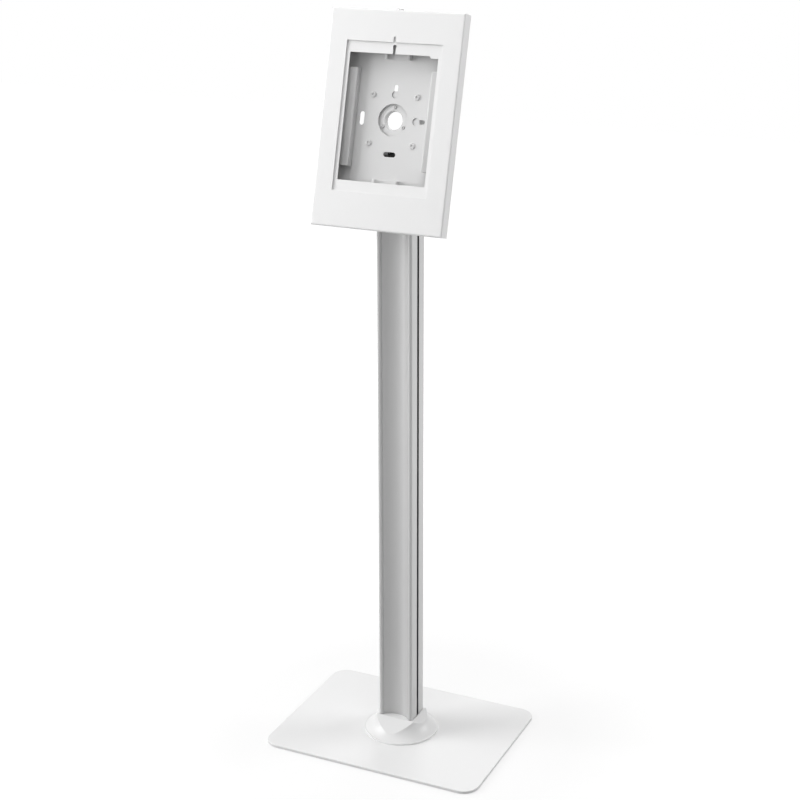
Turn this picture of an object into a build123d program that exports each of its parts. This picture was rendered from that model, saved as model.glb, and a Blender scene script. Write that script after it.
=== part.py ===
from build123d import *
import math
import os

# Adjustable tablet floor stand: base plate, extruded column, tilting and turning head, lockable tablet case.
# Millimetres and degrees. Z is up, the floor is at 0, the tablet faces -Y.

# Base plate and its pads
plate_width = 400.0
plate_depth = 300.0
plate_thickness = 5.0
plate_corner = 28.0
plate_edge_round = 0.8
pad_radius = 10.0
pad_thickness = 1.0
pad_inset = 25.0
pad_columns = 3
pad_rows = 2

# Column: one aluminium extrusion with hollow arcs front and back and a slot in each side
column_length = 1020.0
column_width = 63.0
column_depth = 52.0
column_wall = 2.0
nose_radius = 3.95
channel_depth = 13.2
slot_opening = 8.0
slot_lip = 2.4
slot_cavity_width = 13.0
slot_cavity_depth = 6.0
slot_wall = 1.8
port_x = 24.6
port_y = 13.3
port_wall = 2.15

# Fasteners at both ends of the column
port_screw_radius = 3.0
port_screw_reach = 25.0
thread_clearance = 0.05
hole_clearance = 0.4
countersunk_head_radius = 6.0
countersunk_head_height = 3.3
hex_key_share = 0.42
hex_key_depth_share = 0.5

# Moulded cover round the foot of the column
foot_radius = 65.6
foot_rim_height = 3.2
foot_height = 32.0
foot_top_radius = 45.2
foot_toe_radius = 63.0
foot_bell_power = 2.6
foot_bell_steps = 8
foot_facet_spread = 1.244
foot_collar_front = 1.0
foot_collar_side = 2.7
foot_wall = 2.0
foot_gap = 0.4

# Neck on top of the column and the tilt bolt
neck_base_thickness = 9.0
neck_base_inset = 0.5
neck_base_corner = 5.0
neck_ear_thickness = 4.0
neck_ear_gap = 22.0
ear_radius = 12.5
pivot_rise = 14.0
pivot_forward = 1.4
tilt_bolt_radius = 4.0
tilt_running_clearance = 0.05
tilt_head_radius = 6.5
tilt_head_height = 5.3
tilt_nut_height = 6.5
tilt_bolt_tail = 2.0
tilt_washer_radius = 8.0
tilt_washer_thickness = 1.6
friction_washer_radius = 11.0
friction_washer_thickness = 1.0
spacer_wall = 3.0

# Tilting yoke with the swivel hub
tilt_at_rest = 15.0
yoke_sheet = 3.0
yoke_plate_width = 104.0
yoke_plate_height = 66.0
yoke_plate_corner = 8.0
pivot_setback = 24.2
pivot_drop = 35.0
hub_bore_radius = 14.5
hub_bore_chamfer = 1.0
hub_bush_radius = 23.5
hub_bush_flange = 3.5
hub_bush_flange_thickness = 1.5
swivel_running_clearance = 0.05
swivel_washer_thickness = 0.5
swivel_washer_inset = 0.6
keeper_overlap = 3.0
keeper_thickness = 2.0
keeper_screw_count = 3
keeper_screw_circle = 20.3
keeper_screw_radius = 1.5
keeper_screw_length = 7.0
keeper_head_radius = 2.75
keeper_head_height = 1.5

# Adapter plate between the swivel and the case
adapter_size = 90.0
adapter_corner = 6.0
adapter_sheet = 2.5
adapter_dish_depth = 4.5
adapter_dish_gap = 1.0
adapter_pattern = 75.0
adapter_screw_radius = 2.0
adapter_screw_length = 6.5
adapter_head_radius = 4.75
adapter_head_height = 1.9
adapter_head_round = 1.0

# Front cover of the case
case_width = 227.0
case_height = 340.0
case_depth = 21.0
case_sheet = 1.5
case_edge_round = 3.0
case_corner_round = 1.2
window_width = 162.4
window_top = 120.4
window_bottom = 112.5
camera_slot_width = 4.0
camera_slot_rise = 8.6
hub_height = 4.0

# Retaining frame behind the window
frame_sheet = 1.5
frame_standoff = 1.0
frame_border = 14.0
frame_gap = 0.6
frame_window_width = 150.0
frame_window_top = 102.8
frame_window_bottom = 95.6
frame_step_width = 12.0
frame_step_drop = 3.4
frame_step_slope = 2.6
frame_slot_width = 4.2
frame_slot_head = 3.0
frame_slot_rise = 14.2
stud_inset_x = 8.5
stud_inset_y = 26.0
stud_radius = 1.5
stud_length = 6.0
stud_nut_radius = 2.75
stud_nut_height = 2.4

# Rear tray and the tablet's nest
tray_gap = 1.2
tray_sheet = 1.5
tray_bend_round = 2.0
tray_front_gap = 1.0
tablet_space = 6.5
bar_rise = 13.3
tray_hole_radius = 25.0
keyhole_radius = 5.7
keyhole_offset = 39.5
keyhole_slot_width = 6.6
keyhole_slot_reach = 54.8
long_slot_length = 21.0
long_slot_width = 7.6
long_slot_offset = 53.5
nest_width = 179.4
nest_height = 248.0
bar_sheet = 1.5
bar_inner_x = 62.5
bar_length = 153.0
bar_foot = 12.0
bar_stop_gap = 0.6
bracket_width = 43.0
bracket_top_reach = 31.5
bracket_bottom_reach = 30.5
bracket_lip = 4.5
bracket_setback = 4.5
bracket_horn = 4.0
rivet_radius = 1.6
rivet_head_radius = 3.2
rivet_head_height = 1.0
rivet_tail_radius = 2.6
rivet_tail_height = 0.8
rivet_fit = 0.02
bar_rivet_pitch = 55.0
bar_rivet_count = 3
bracket_rivet_inset = 8.0
bracket_rivet_side = 8.3
tongue_length = 28.0
tongue_offset = 60.0
tongue_sheet = 1.5
tongue_front = 15.5
tongue_end_gap = 0.5
tongue_face_gap = 0.6

# Lock in the middle of the cover's top wall
lock_depth = 12.0
lock_head_radius = 7.0
lock_head_height = 2.5
lock_head_chamfer = 0.7
lock_body_radius = 6.0
lock_body_length = 14.0
lock_nut_radius = 7.0
lock_nut_height = 3.0
lock_plug_radius = 4.5
lock_running_clearance = 0.05
lock_hole_clearance = 0.1
keyway_length = 5.6
keyway_width = 1.5
keyway_depth = 1.8
cam_thickness = 2.0
cam_width = 8.0
cam_hub_radius = 5.0
cam_tip_gap = 0.5
cam_screw_radius = 1.5
cam_screw_length = 5.0
cam_screw_head_radius = 2.75
cam_screw_head_height = 1.6
strike_width = 110.0
strike_overlap = 3.0
nut_notch_gap = 0.8

# Overrun of every cutting tool past the faces that it cuts
overrun = 1.0


def save(piece, name):
    """Give a finished piece its name and write its file."""
    piece.part.label = name
    export_step(piece.part, "parts/" + name + ".step")


def hexagon(apothem):
    """Hexagonal outline given by half its width across the flats, with flats to the left and right."""
    return RegularPolygon(radius=apothem, side_count=6, major_radius=False, rotation=30)


os.makedirs("parts", exist_ok=True)

# Heights of the stand
plate_bottom = pad_thickness
plate_top = plate_bottom + plate_thickness
column_top = plate_top + column_length
neck_top = column_top + neck_base_thickness
pivot_z = neck_top + pivot_rise
pivot_y = -pivot_forward

# Depths of the head, measured backwards from the cover's front face
frame_front = case_sheet + frame_standoff
frame_back = frame_front + frame_sheet
rest_depth = frame_back + tablet_space
floor_front = rest_depth + bar_rise
tray_back = floor_front + tray_sheet
tray_front = frame_back + tray_front_gap
adapter_back = tray_back + adapter_sheet
dish_front = tray_back + adapter_dish_depth
dish_back = dish_front + adapter_sheet
keeper_back = dish_front - swivel_washer_thickness
keeper_front = keeper_back - keeper_thickness
yoke_front = dish_back + swivel_washer_thickness
yoke_back = yoke_front + yoke_sheet
pivot_depth = yoke_back + pivot_setback
pivot_height = hub_height - pivot_drop

# Directions of the head: backwards through the case, and up along its face
tilt = math.radians(tilt_at_rest)
back_dir = Vector(0, math.cos(tilt), -math.sin(tilt))
up_dir = Vector(0, math.sin(tilt), math.cos(tilt))
face_origin = Vector(0, pivot_y, pivot_z) - back_dir * pivot_depth - up_dir * pivot_height
depth_axis = Axis(face_origin, back_dir)


def at_depth(depth):
    """Plane parallel to the case's face: x to the right, y up the face, positive extrusion to the front."""
    return Plane(origin=face_origin + back_dir * depth, x_dir=(1, 0, 0), z_dir=-back_dir)


def at_height(height):
    """Plane across the case: x to the right, y backwards, positive extrusion up the face."""
    return Plane(origin=face_origin + up_dir * height, x_dir=(1, 0, 0), z_dir=up_dir)


def at_side(x):
    """Plane along the head: x backwards, y up the face, positive extrusion to the right."""
    return Plane(origin=face_origin + Vector(x, 0, 0), x_dir=back_dir, z_dir=(1, 0, 0))


def beside_column(x):
    """Upright plane: x backwards, y up, positive extrusion to the right."""
    return Plane(origin=(x, 0, 0), x_dir=(0, 1, 0), z_dir=(1, 0, 0))


# Shared patterns
port_points = [(sx * port_x, sy * port_y) for sx in (-1, 1) for sy in (-1, 1)]
adapter_points = [
    (sx * adapter_pattern / 2, hub_height + sy * adapter_pattern / 2) for sx in (-1, 1) for sy in (-1, 1)
]
tongue_points = [-tongue_offset, tongue_offset]

# Outline of the extrusion
nose_y = column_depth / 2 - nose_radius
nose_x = column_width / 2 - nose_radius
channel_half = column_width / 2 - 2 * nose_radius
channel_floor = column_depth / 2 - channel_depth
with BuildSketch() as column_outline:
    with BuildLine():
        Line((column_width / 2, -nose_y), (column_width / 2, nose_y))
        ThreePointArc((column_width / 2, nose_y), (nose_x, column_depth / 2), (channel_half, nose_y))
        ThreePointArc((channel_half, nose_y), (0, channel_floor), (-channel_half, nose_y))
        ThreePointArc((-channel_half, nose_y), (-nose_x, column_depth / 2), (-column_width / 2, nose_y))
        Line((-column_width / 2, nose_y), (-column_width / 2, -nose_y))
        ThreePointArc((-column_width / 2, -nose_y), (-nose_x, -column_depth / 2), (-channel_half, -nose_y))
        ThreePointArc((-channel_half, -nose_y), (0, -channel_floor), (channel_half, -nose_y))
        ThreePointArc((channel_half, -nose_y), (nose_x, -column_depth / 2), (column_width / 2, -nose_y))
    make_face()


def countersunk_hole(point, outer_face, direction, thickness):
    """Screw hole with a conical seat; direction is 1 where the screw points up from the outer face."""
    with BuildSketch(Plane.XY.offset(outer_face)) as seat:
        with Locations(point):
            Circle(countersunk_head_radius + thread_clearance)
    with BuildSketch(Plane.XY.offset(outer_face + direction * countersunk_head_height)) as throat:
        with Locations(point):
            Circle(port_screw_radius + thread_clearance)
    loft([seat.sketch, throat.sketch], mode=Mode.SUBTRACT)
    extrude(throat.sketch, amount=direction * thickness, mode=Mode.SUBTRACT)


def countersunk_screw(point, outer_face, direction, thickness):
    """Screw with a conical head and a hexagon socket, through the thickness and into the column."""
    with BuildSketch(Plane.XY.offset(outer_face)) as crown:
        with Locations(point):
            Circle(countersunk_head_radius)
    with BuildSketch(Plane.XY.offset(outer_face + direction * countersunk_head_height)) as throat:
        with Locations(point):
            Circle(port_screw_radius)
    loft([crown.sketch, throat.sketch])
    shank = thickness - countersunk_head_height + port_screw_reach
    extrude(throat.sketch, amount=direction * shank)
    with BuildSketch(Plane.XY.offset(outer_face)) as key:
        with Locations(point):
            hexagon(countersunk_head_radius * hex_key_share)
    extrude(key.sketch, amount=direction * countersunk_head_height * hex_key_depth_share, mode=Mode.SUBTRACT)


# Base plate, drilled and countersunk from below for the column's screws
port_hole_radius = port_screw_radius + thread_clearance
with BuildPart() as base_plate:
    with BuildSketch(Plane.XY.offset(plate_bottom)):
        RectangleRounded(plate_width, plate_depth, plate_corner)
    extrude(amount=plate_thickness)
    fillet(base_plate.edges().group_by(Axis.Z)[-1], plate_edge_round)
    for point in port_points:
        countersunk_hole(point, plate_bottom, 1, plate_thickness)
save(base_plate, "base_plate")

# Thin pads stuck under the plate
pad_span_x = plate_width - 2 * pad_inset
pad_span_y = plate_depth - 2 * pad_inset
with BuildPart() as base_pads:
    with BuildSketch(Plane.XY):
        with GridLocations(pad_span_x / (pad_columns - 1), pad_span_y / (pad_rows - 1), pad_columns, pad_rows):
            Circle(pad_radius)
    extrude(amount=pad_thickness)
save(base_pads, "base_pads")

# Screws that hold the column to the plate
with BuildPart() as foot_screws:
    for point in port_points:
        countersunk_screw(point, plate_bottom, 1, plate_thickness)
save(foot_screws, "foot_screws")

# Column
slot_block_depth = slot_lip + slot_cavity_depth + slot_wall
with BuildPart() as column:
    with BuildSketch(Plane.XY.offset(plate_top)):
        add(column_outline.sketch)
        offset(column_outline.sketch, amount=-column_wall, mode=Mode.SUBTRACT)
        for side in (-1, 1):
            with Locations((side * (column_width / 2 - slot_block_depth / 2), 0)):
                Rectangle(slot_block_depth, slot_cavity_width + 2 * slot_wall)
        with Locations(*port_points):
            Circle(port_hole_radius + port_wall)
        with Locations(*port_points):
            Circle(port_hole_radius, mode=Mode.SUBTRACT)
        for side in (-1, 1):
            with Locations((side * column_width / 2, 0)):
                Rectangle(2 * slot_lip, slot_opening, mode=Mode.SUBTRACT)
            with Locations((side * (column_width / 2 - slot_lip - slot_cavity_depth / 2), 0)):
                Rectangle(slot_cavity_depth, slot_cavity_width, mode=Mode.SUBTRACT)
    extrude(amount=column_length)
save(column, "column")

# Foot cover: a bell-shaped shell whose four sides are cut flat round the column
collar_half_x = column_width / 2 + foot_gap + foot_collar_side
collar_half_y = column_depth / 2 + foot_gap + foot_collar_front
foot_top = plate_top + foot_height
bell_height = foot_height - foot_rim_height
bell_reach = foot_toe_radius - foot_top_radius


def bell(inset):
    """Solid of the cover's outside, or of its inside where it is drawn in by the wall."""
    curve = []
    for step in range(foot_bell_steps + 1):
        share = step / foot_bell_steps
        steepness = bell_reach * foot_bell_power * share ** (foot_bell_power - 1) / bell_height
        angle = math.atan(steepness)
        radius = foot_top_radius + bell_reach * share**foot_bell_power - inset * math.cos(angle)
        curve.append((radius, foot_top - bell_height * share - inset * math.sin(angle)))
    rim_radius = foot_radius - inset
    rim_top = plate_top + foot_rim_height - inset
    with BuildSketch(Plane.XZ) as half_section:
        with BuildLine():
            Polyline((0, plate_top), (rim_radius, plate_top), (rim_radius, rim_top), curve[-1])
            Spline(*reversed(curve))
            Polyline(curve[0], (0, curve[0][1]), (0, plate_top))
        make_face()
    revolve(half_section.sketch, axis=Axis.Z)
    side_wall = inset / math.cos(math.atan(foot_facet_spread))
    levels = []
    for height in (plate_top, foot_top - inset):
        outward = foot_facet_spread * (foot_top - height) - side_wall
        with BuildSketch(Plane.XY.offset(height)) as level:
            Rectangle(2 * (collar_half_x + outward), 2 * (collar_half_y + outward))
        levels.append(level.sketch)
    loft(levels, mode=Mode.INTERSECT)


with BuildPart() as foot_cavity:
    bell(foot_wall)

with BuildPart() as foot_cover:
    bell(0)
    add(foot_cavity.part, mode=Mode.SUBTRACT)
    with BuildSketch(Plane.XY.offset(plate_top)):
        offset(column_outline.sketch, amount=foot_gap)
    extrude(amount=foot_height + overrun, mode=Mode.SUBTRACT)
save(foot_cover, "foot_cover")

# Neck: base plate on the column's end with two upright ears
neck_base_width = column_width - 2 * neck_base_inset
neck_base_depth = column_depth - 2 * neck_base_inset
neck_ear_inner = neck_ear_gap / 2
neck_ear_outer = neck_ear_inner + neck_ear_thickness
with BuildPart() as neck_bracket:
    with BuildSketch(Plane.XY.offset(column_top)):
        RectangleRounded(neck_base_width, neck_base_depth, neck_base_corner)
    extrude(amount=neck_base_thickness)
    for point in port_points:
        countersunk_hole(point, neck_top, -1, neck_base_thickness)
    for inner_x in (-neck_ear_outer, neck_ear_inner):
        with BuildSketch(beside_column(inner_x)):
            with Locations((pivot_y, neck_top + pivot_rise / 2)):
                Rectangle(2 * ear_radius, pivot_rise)
            with Locations((pivot_y, pivot_z)):
                Circle(ear_radius)
            with Locations((pivot_y, pivot_z)):
                Circle(tilt_bolt_radius + tilt_running_clearance, mode=Mode.SUBTRACT)
        extrude(amount=neck_ear_thickness)
save(neck_bracket, "neck_bracket")

# Screws that hold the neck to the column
with BuildPart() as neck_screws:
    for point in port_points:
        countersunk_screw(point, neck_top, -1, neck_base_thickness)
save(neck_screws, "neck_screws")

# Tilt hinge, stacked outwards along the bolt
yoke_ear_inner = neck_ear_outer + friction_washer_thickness
yoke_ear_outer = yoke_ear_inner + yoke_sheet
bolt_seat = yoke_ear_outer + tilt_washer_thickness
bolt_bore = tilt_bolt_radius + tilt_running_clearance


def pivot_ring(start_x, outer_radius, inner_radius, thickness):
    """Ring on the tilt axis from start_x towards the right."""
    with BuildSketch(beside_column(start_x)) as ring:
        with Locations((pivot_y, pivot_z)):
            Circle(outer_radius)
        with Locations((pivot_y, pivot_z)):
            Circle(inner_radius, mode=Mode.SUBTRACT)
    extrude(ring.sketch, amount=thickness)


with BuildPart() as tilt_spacer:
    pivot_ring(-neck_ear_inner, bolt_bore + spacer_wall, bolt_bore, neck_ear_gap)
save(tilt_spacer, "tilt_spacer")

with BuildPart() as tilt_friction_washers:
    for start_x in (-yoke_ear_inner, neck_ear_outer):
        pivot_ring(start_x, friction_washer_radius, bolt_bore, friction_washer_thickness)
save(tilt_friction_washers, "tilt_friction_washers")

with BuildPart() as tilt_washers:
    for start_x in (-bolt_seat, yoke_ear_outer):
        pivot_ring(start_x, tilt_washer_radius, bolt_bore, tilt_washer_thickness)
save(tilt_washers, "tilt_washers")

with BuildPart() as tilt_bolt:
    with BuildSketch(beside_column(-bolt_seat - tilt_nut_height - tilt_bolt_tail)):
        with Locations((pivot_y, pivot_z)):
            Circle(tilt_bolt_radius)
    extrude(amount=2 * bolt_seat + tilt_nut_height + tilt_bolt_tail)
    with BuildSketch(beside_column(bolt_seat)):
        with Locations((pivot_y, pivot_z)):
            hexagon(tilt_head_radius)
    extrude(amount=tilt_head_height)
save(tilt_bolt, "tilt_bolt")

with BuildPart() as tilt_nut:
    with BuildSketch(beside_column(-bolt_seat - tilt_nut_height)):
        with Locations((pivot_y, pivot_z)):
            hexagon(tilt_head_radius)
        with Locations((pivot_y, pivot_z)):
            Circle(tilt_bolt_radius + thread_clearance, mode=Mode.SUBTRACT)
    extrude(amount=tilt_nut_height)
save(tilt_nut, "tilt_nut")

# Yoke: a plate for the hub with a strap below it, whose sides turn back as ears
strap_bottom = pivot_height - ear_radius
strap_length = hub_height - strap_bottom
with BuildPart() as tilt_yoke:
    with BuildSketch(at_depth(yoke_back)):
        with Locations((0, hub_height)):
            RectangleRounded(yoke_plate_width, yoke_plate_height, yoke_plate_corner)
        with Locations((0, strap_bottom + strap_length / 2)):
            Rectangle(2 * yoke_ear_outer, strap_length)
        with Locations((0, hub_height)):
            Circle(hub_bush_radius, mode=Mode.SUBTRACT)
    extrude(amount=yoke_sheet)
    for inner_x in (-yoke_ear_outer, yoke_ear_inner):
        with BuildSketch(at_side(inner_x)):
            with Locations(((yoke_front + pivot_depth) / 2, pivot_height)):
                Rectangle(pivot_depth - yoke_front, 2 * ear_radius)
            with Locations((pivot_depth, pivot_height)):
                Circle(ear_radius)
            with Locations((pivot_depth, pivot_height)):
                Circle(bolt_bore, mode=Mode.SUBTRACT)
        extrude(amount=yoke_sheet)
save(tilt_yoke, "tilt_yoke")


def hub_ring(back, outer_radius, inner_radius, thickness):
    """Ring on the swivel axis whose rear face lies at the depth back."""
    with BuildSketch(at_depth(back)) as ring:
        with Locations((0, hub_height)):
            Circle(outer_radius)
        with Locations((0, hub_height)):
            Circle(inner_radius, mode=Mode.SUBTRACT)
    extrude(ring.sketch, amount=thickness)


# Hub bush, pressed through the yoke from behind; its nose is the swivel's bearing
keeper_radius = hub_bush_radius + keeper_overlap
bush_back = yoke_back + hub_bush_flange_thickness
with BuildPart() as swivel_bush:
    hub_ring(bush_back, hub_bush_radius + hub_bush_flange, hub_bore_radius, hub_bush_flange_thickness)
    hub_ring(yoke_back, hub_bush_radius, hub_bore_radius, yoke_back - keeper_back)
    with BuildSketch(at_depth(keeper_back + keeper_screw_length)):
        with Locations((0, hub_height)):
            with PolarLocations(keeper_screw_circle, keeper_screw_count, start_angle=90):
                Circle(keeper_screw_radius + thread_clearance)
    extrude(amount=keeper_screw_length, mode=Mode.SUBTRACT)
save(swivel_bush, "swivel_bush")

with BuildPart() as swivel_keeper:
    hub_ring(keeper_back, keeper_radius, hub_bore_radius, keeper_thickness)
    bore_rim = swivel_keeper.edges().filter_by(GeomType.CIRCLE).sort_by(depth_axis)[:2].sort_by(SortBy.RADIUS)[0]
    chamfer(bore_rim, hub_bore_chamfer)
    with BuildSketch(at_depth(keeper_back)):
        with Locations((0, hub_height)):
            with PolarLocations(keeper_screw_circle, keeper_screw_count, start_angle=90):
                Circle(keeper_screw_radius + 2 * thread_clearance)
    extrude(amount=keeper_thickness, mode=Mode.SUBTRACT)
save(swivel_keeper, "swivel_keeper")

with BuildPart() as keeper_screws:
    with BuildSketch(at_depth(keeper_back + keeper_screw_length)):
        with Locations((0, hub_height)):
            with PolarLocations(keeper_screw_circle, keeper_screw_count, start_angle=90):
                Circle(keeper_screw_radius)
    extrude(amount=keeper_screw_length + keeper_thickness)
    with BuildSketch(at_depth(keeper_front)):
        with Locations((0, hub_height)):
            with PolarLocations(keeper_screw_circle, keeper_screw_count, start_angle=90):
                Circle(keeper_head_radius)
    extrude(amount=keeper_head_height)
    with BuildSketch(at_depth(keeper_front - keeper_head_height * hex_key_depth_share)):
        with Locations((0, hub_height)):
            with PolarLocations(keeper_screw_circle, keeper_screw_count, start_angle=90):
                hexagon(keeper_head_radius * hex_key_share)
    extrude(amount=keeper_head_height, mode=Mode.SUBTRACT)
save(keeper_screws, "keeper_screws")

swivel_bore = hub_bush_radius + swivel_running_clearance
with BuildPart() as swivel_washer_front:
    hub_ring(dish_front, keeper_radius - swivel_washer_inset, swivel_bore, swivel_washer_thickness)
save(swivel_washer_front, "swivel_washer_front")

with BuildPart() as swivel_washer_rear:
    hub_ring(yoke_front, keeper_radius - swivel_washer_inset, swivel_bore, swivel_washer_thickness)
save(swivel_washer_rear, "swivel_washer_rear")

# Adapter plate, dished in the middle to leave room for the keeper ring
dish_inner = keeper_radius + adapter_dish_gap
dish_outer = dish_inner + adapter_sheet
with BuildPart() as adapter_plate:
    with BuildSketch(at_depth(adapter_back)):
        with Locations((0, hub_height)):
            RectangleRounded(adapter_size, adapter_size, adapter_corner)
        with Locations((0, hub_height)):
            Circle(dish_inner, mode=Mode.SUBTRACT)
        with Locations(*adapter_points):
            Circle(adapter_screw_radius + thread_clearance, mode=Mode.SUBTRACT)
    extrude(amount=adapter_sheet)
    hub_ring(dish_back, dish_outer, dish_inner, dish_back - tray_back)
    hub_ring(dish_back, dish_outer, swivel_bore, adapter_sheet)
save(adapter_plate, "adapter_plate")

with BuildPart() as adapter_screws:
    for point in adapter_points:
        with BuildSketch(at_depth(floor_front)):
            with Locations(point):
                Circle(adapter_head_radius)
        extrude(amount=adapter_head_height)
    fillet(adapter_screws.faces().group_by(depth_axis)[0].edges(), adapter_head_round)
    for point in adapter_points:
        with BuildSketch(at_depth(floor_front + adapter_screw_length)):
            with Locations(point):
                Circle(adapter_screw_radius)
        extrude(amount=adapter_screw_length)
        with BuildSketch(at_depth(floor_front - adapter_head_height * hex_key_depth_share)):
            with Locations(point):
                hexagon(adapter_head_radius * hex_key_share)
        extrude(amount=adapter_head_height, mode=Mode.SUBTRACT)
save(adapter_screws, "adapter_screws")

# Sizes shared by the cover and the tray
case_inner_width = case_width - 2 * case_sheet
case_inner_height = case_height - 2 * case_sheet
tray_width = case_inner_width - 2 * tray_gap
tray_height = case_inner_height - 2 * tray_gap
tray_inner_width = tray_width - 2 * tray_sheet
tray_inner_height = tray_height - 2 * tray_sheet
bar_outer_x = nest_width / 2 + bar_sheet
stop_front = frame_back + bar_stop_gap
stop_top = hub_height + nest_height / 2
stop_bottom = hub_height - nest_height / 2
bar_foot_x = bar_inner_x + bar_sheet + bar_foot / 2
bar_rivet_points = [
    (side * bar_foot_x, hub_height + (index - (bar_rivet_count - 1) / 2) * bar_rivet_pitch)
    for side in (-1, 1)
    for index in range(bar_rivet_count)
]
bracket_rivet_x = bracket_width / 2 - bracket_rivet_side
bracket_rivet_points = [
    (side * bracket_rivet_x, height)
    for side in (-1, 1)
    for height in (stop_top - bracket_rivet_inset, stop_bottom + bracket_rivet_inset)
]
rivet_points = bar_rivet_points + bracket_rivet_points

# Rear tray: floor with walls all round, a strike for the lock and two tongues at the bottom
cam_reach = floor_front - cam_tip_gap - lock_depth
cam_length = math.sqrt(cam_reach**2 - (cam_width / 2) ** 2)
cam_top = case_height / 2 - lock_body_length - lock_running_clearance
cam_bottom = cam_top - cam_thickness
strike_bottom = cam_bottom - strike_overlap
nut_notch_half = lock_nut_radius + nut_notch_gap
nut_notch_back = lock_depth + lock_nut_radius / math.cos(math.radians(30)) + nut_notch_gap
tray_top = tray_height / 2
keyhole_slot_length = keyhole_slot_reach - keyhole_offset + keyhole_slot_width / 2
keyhole_slot_middle = keyhole_slot_reach - keyhole_slot_length / 2
with BuildPart() as rear_tray:
    with BuildSketch(at_depth(tray_back)):
        Rectangle(tray_width, tray_height)
    extrude(amount=tray_back - tray_front)
    fillet(rear_tray.faces().sort_by(depth_axis)[-1].edges(), tray_bend_round)
    with BuildSketch(at_depth(floor_front)):
        Rectangle(tray_inner_width, tray_inner_height)
    extrude(amount=floor_front, mode=Mode.SUBTRACT)
    with BuildSketch(at_depth(tray_front + tray_sheet)):
        with Locations((0, (tray_top + strike_bottom) / 2)):
            Rectangle(strike_width, tray_top - strike_bottom)
    extrude(amount=tray_sheet)
    with BuildSketch(at_depth(tray_front + tray_sheet)):
        with Locations((0, (tray_top + strike_bottom) / 2)):
            Rectangle(2 * nut_notch_half, tray_top - strike_bottom + 2 * overrun)
    extrude(amount=tray_sheet, mode=Mode.SUBTRACT)
    with BuildSketch(at_depth(nut_notch_back)):
        with Locations((0, tray_top)):
            Rectangle(2 * nut_notch_half, 2 * tray_sheet)
    extrude(amount=nut_notch_back - tray_front, mode=Mode.SUBTRACT)
    with BuildSketch(at_depth(tongue_front + tongue_sheet)):
        for x in tongue_points:
            with Locations((x, -(tray_inner_height + case_height) / 4)):
                Rectangle(tongue_length, (case_height - tray_inner_height) / 2)
    extrude(amount=tongue_sheet)
    with BuildSketch(at_depth(tray_back)):
        with Locations((0, hub_height)):
            Circle(tray_hole_radius)
        with Locations((0, hub_height + keyhole_offset)):
            Circle(keyhole_radius)
        with Locations((0, hub_height + keyhole_slot_middle)):
            SlotOverall(keyhole_slot_length, keyhole_slot_width, rotation=90)
        with Locations((keyhole_offset, hub_height)):
            Circle(keyhole_radius)
        with Locations((keyhole_slot_middle, hub_height)):
            SlotOverall(keyhole_slot_length, keyhole_slot_width)
        with Locations((-long_slot_offset, hub_height)):
            SlotOverall(long_slot_length, long_slot_width, rotation=90)
        with Locations((0, hub_height - long_slot_offset)):
            SlotOverall(long_slot_length, long_slot_width)
        with Locations(*adapter_points):
            Circle(adapter_screw_radius + hole_clearance)
        with Locations(*rivet_points):
            Circle(rivet_radius + rivet_fit)
    extrude(amount=tray_sheet, mode=Mode.SUBTRACT)
save(rear_tray, "rear_tray")

# Side bars: bent sheet with a foot on the tray, a face for the tablet to lie on and a side stop
bar_bottom = hub_height - bar_length / 2


def side_bar(side):
    """Section of a side bar on the plane across the case, then its length."""
    with BuildSketch(at_height(bar_bottom)) as section:
        with Locations((side * bar_foot_x, floor_front - bar_sheet / 2)):
            Rectangle(bar_foot, bar_sheet)
        with Locations((side * (bar_inner_x + bar_sheet / 2), (rest_depth + floor_front) / 2)):
            Rectangle(bar_sheet, bar_rise)
        with Locations((side * (bar_inner_x + bar_outer_x) / 2, rest_depth + bar_sheet / 2)):
            Rectangle(bar_outer_x - bar_inner_x, bar_sheet)
        with Locations((side * (bar_outer_x - bar_sheet / 2), (stop_front + rest_depth + bar_sheet) / 2)):
            Rectangle(bar_sheet, rest_depth + bar_sheet - stop_front)
    extrude(section.sketch, amount=bar_length)
    with BuildSketch(at_depth(floor_front)) as holes:
        with Locations(*[point for point in bar_rivet_points if point[0] * side > 0]):
            Circle(rivet_radius + rivet_fit)
    extrude(holes.sketch, amount=bar_sheet, mode=Mode.SUBTRACT)


with BuildPart() as left_bar:
    side_bar(-1)
save(left_bar, "left_bar")

with BuildPart() as right_bar:
    side_bar(1)
save(right_bar, "right_bar")


def end_bracket(end, stop, reach):
    """Channel open to the front, with lips turned in and a horn on each side that stops the tablet.

    end is 1 at the top of the nest and -1 at the bottom.
    """
    inner = stop - end * reach
    outer = stop + end * bracket_horn
    half = bracket_width / 2
    lip_front = rest_depth + bracket_setback
    with BuildSketch(at_height(min(inner, outer))) as section:
        with Locations((0, floor_front - bar_sheet / 2)):
            Rectangle(bracket_width, bar_sheet)
        for side in (-1, 1):
            with Locations((side * (half - bar_sheet / 2), (lip_front + floor_front) / 2)):
                Rectangle(bar_sheet, floor_front - lip_front)
            with Locations((side * (half - bracket_lip / 2), lip_front + bar_sheet / 2)):
                Rectangle(bracket_lip, bar_sheet)
    extrude(section.sketch, amount=abs(outer - inner))
    with BuildSketch(at_height(min(stop, outer))) as horns:
        for side in (-1, 1):
            with Locations((side * (half - bar_sheet / 2), (stop_front + lip_front) / 2)):
                Rectangle(bar_sheet, lip_front - stop_front)
    extrude(horns.sketch, amount=bracket_horn)
    with BuildSketch(at_depth(floor_front)) as holes:
        with Locations(*[point for point in bracket_rivet_points if (point[1] - hub_height) * end > 0]):
            Circle(rivet_radius + rivet_fit)
    extrude(holes.sketch, amount=bar_sheet, mode=Mode.SUBTRACT)


with BuildPart() as top_bracket:
    end_bracket(1, stop_top, bracket_top_reach)
save(top_bracket, "top_bracket")

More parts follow.
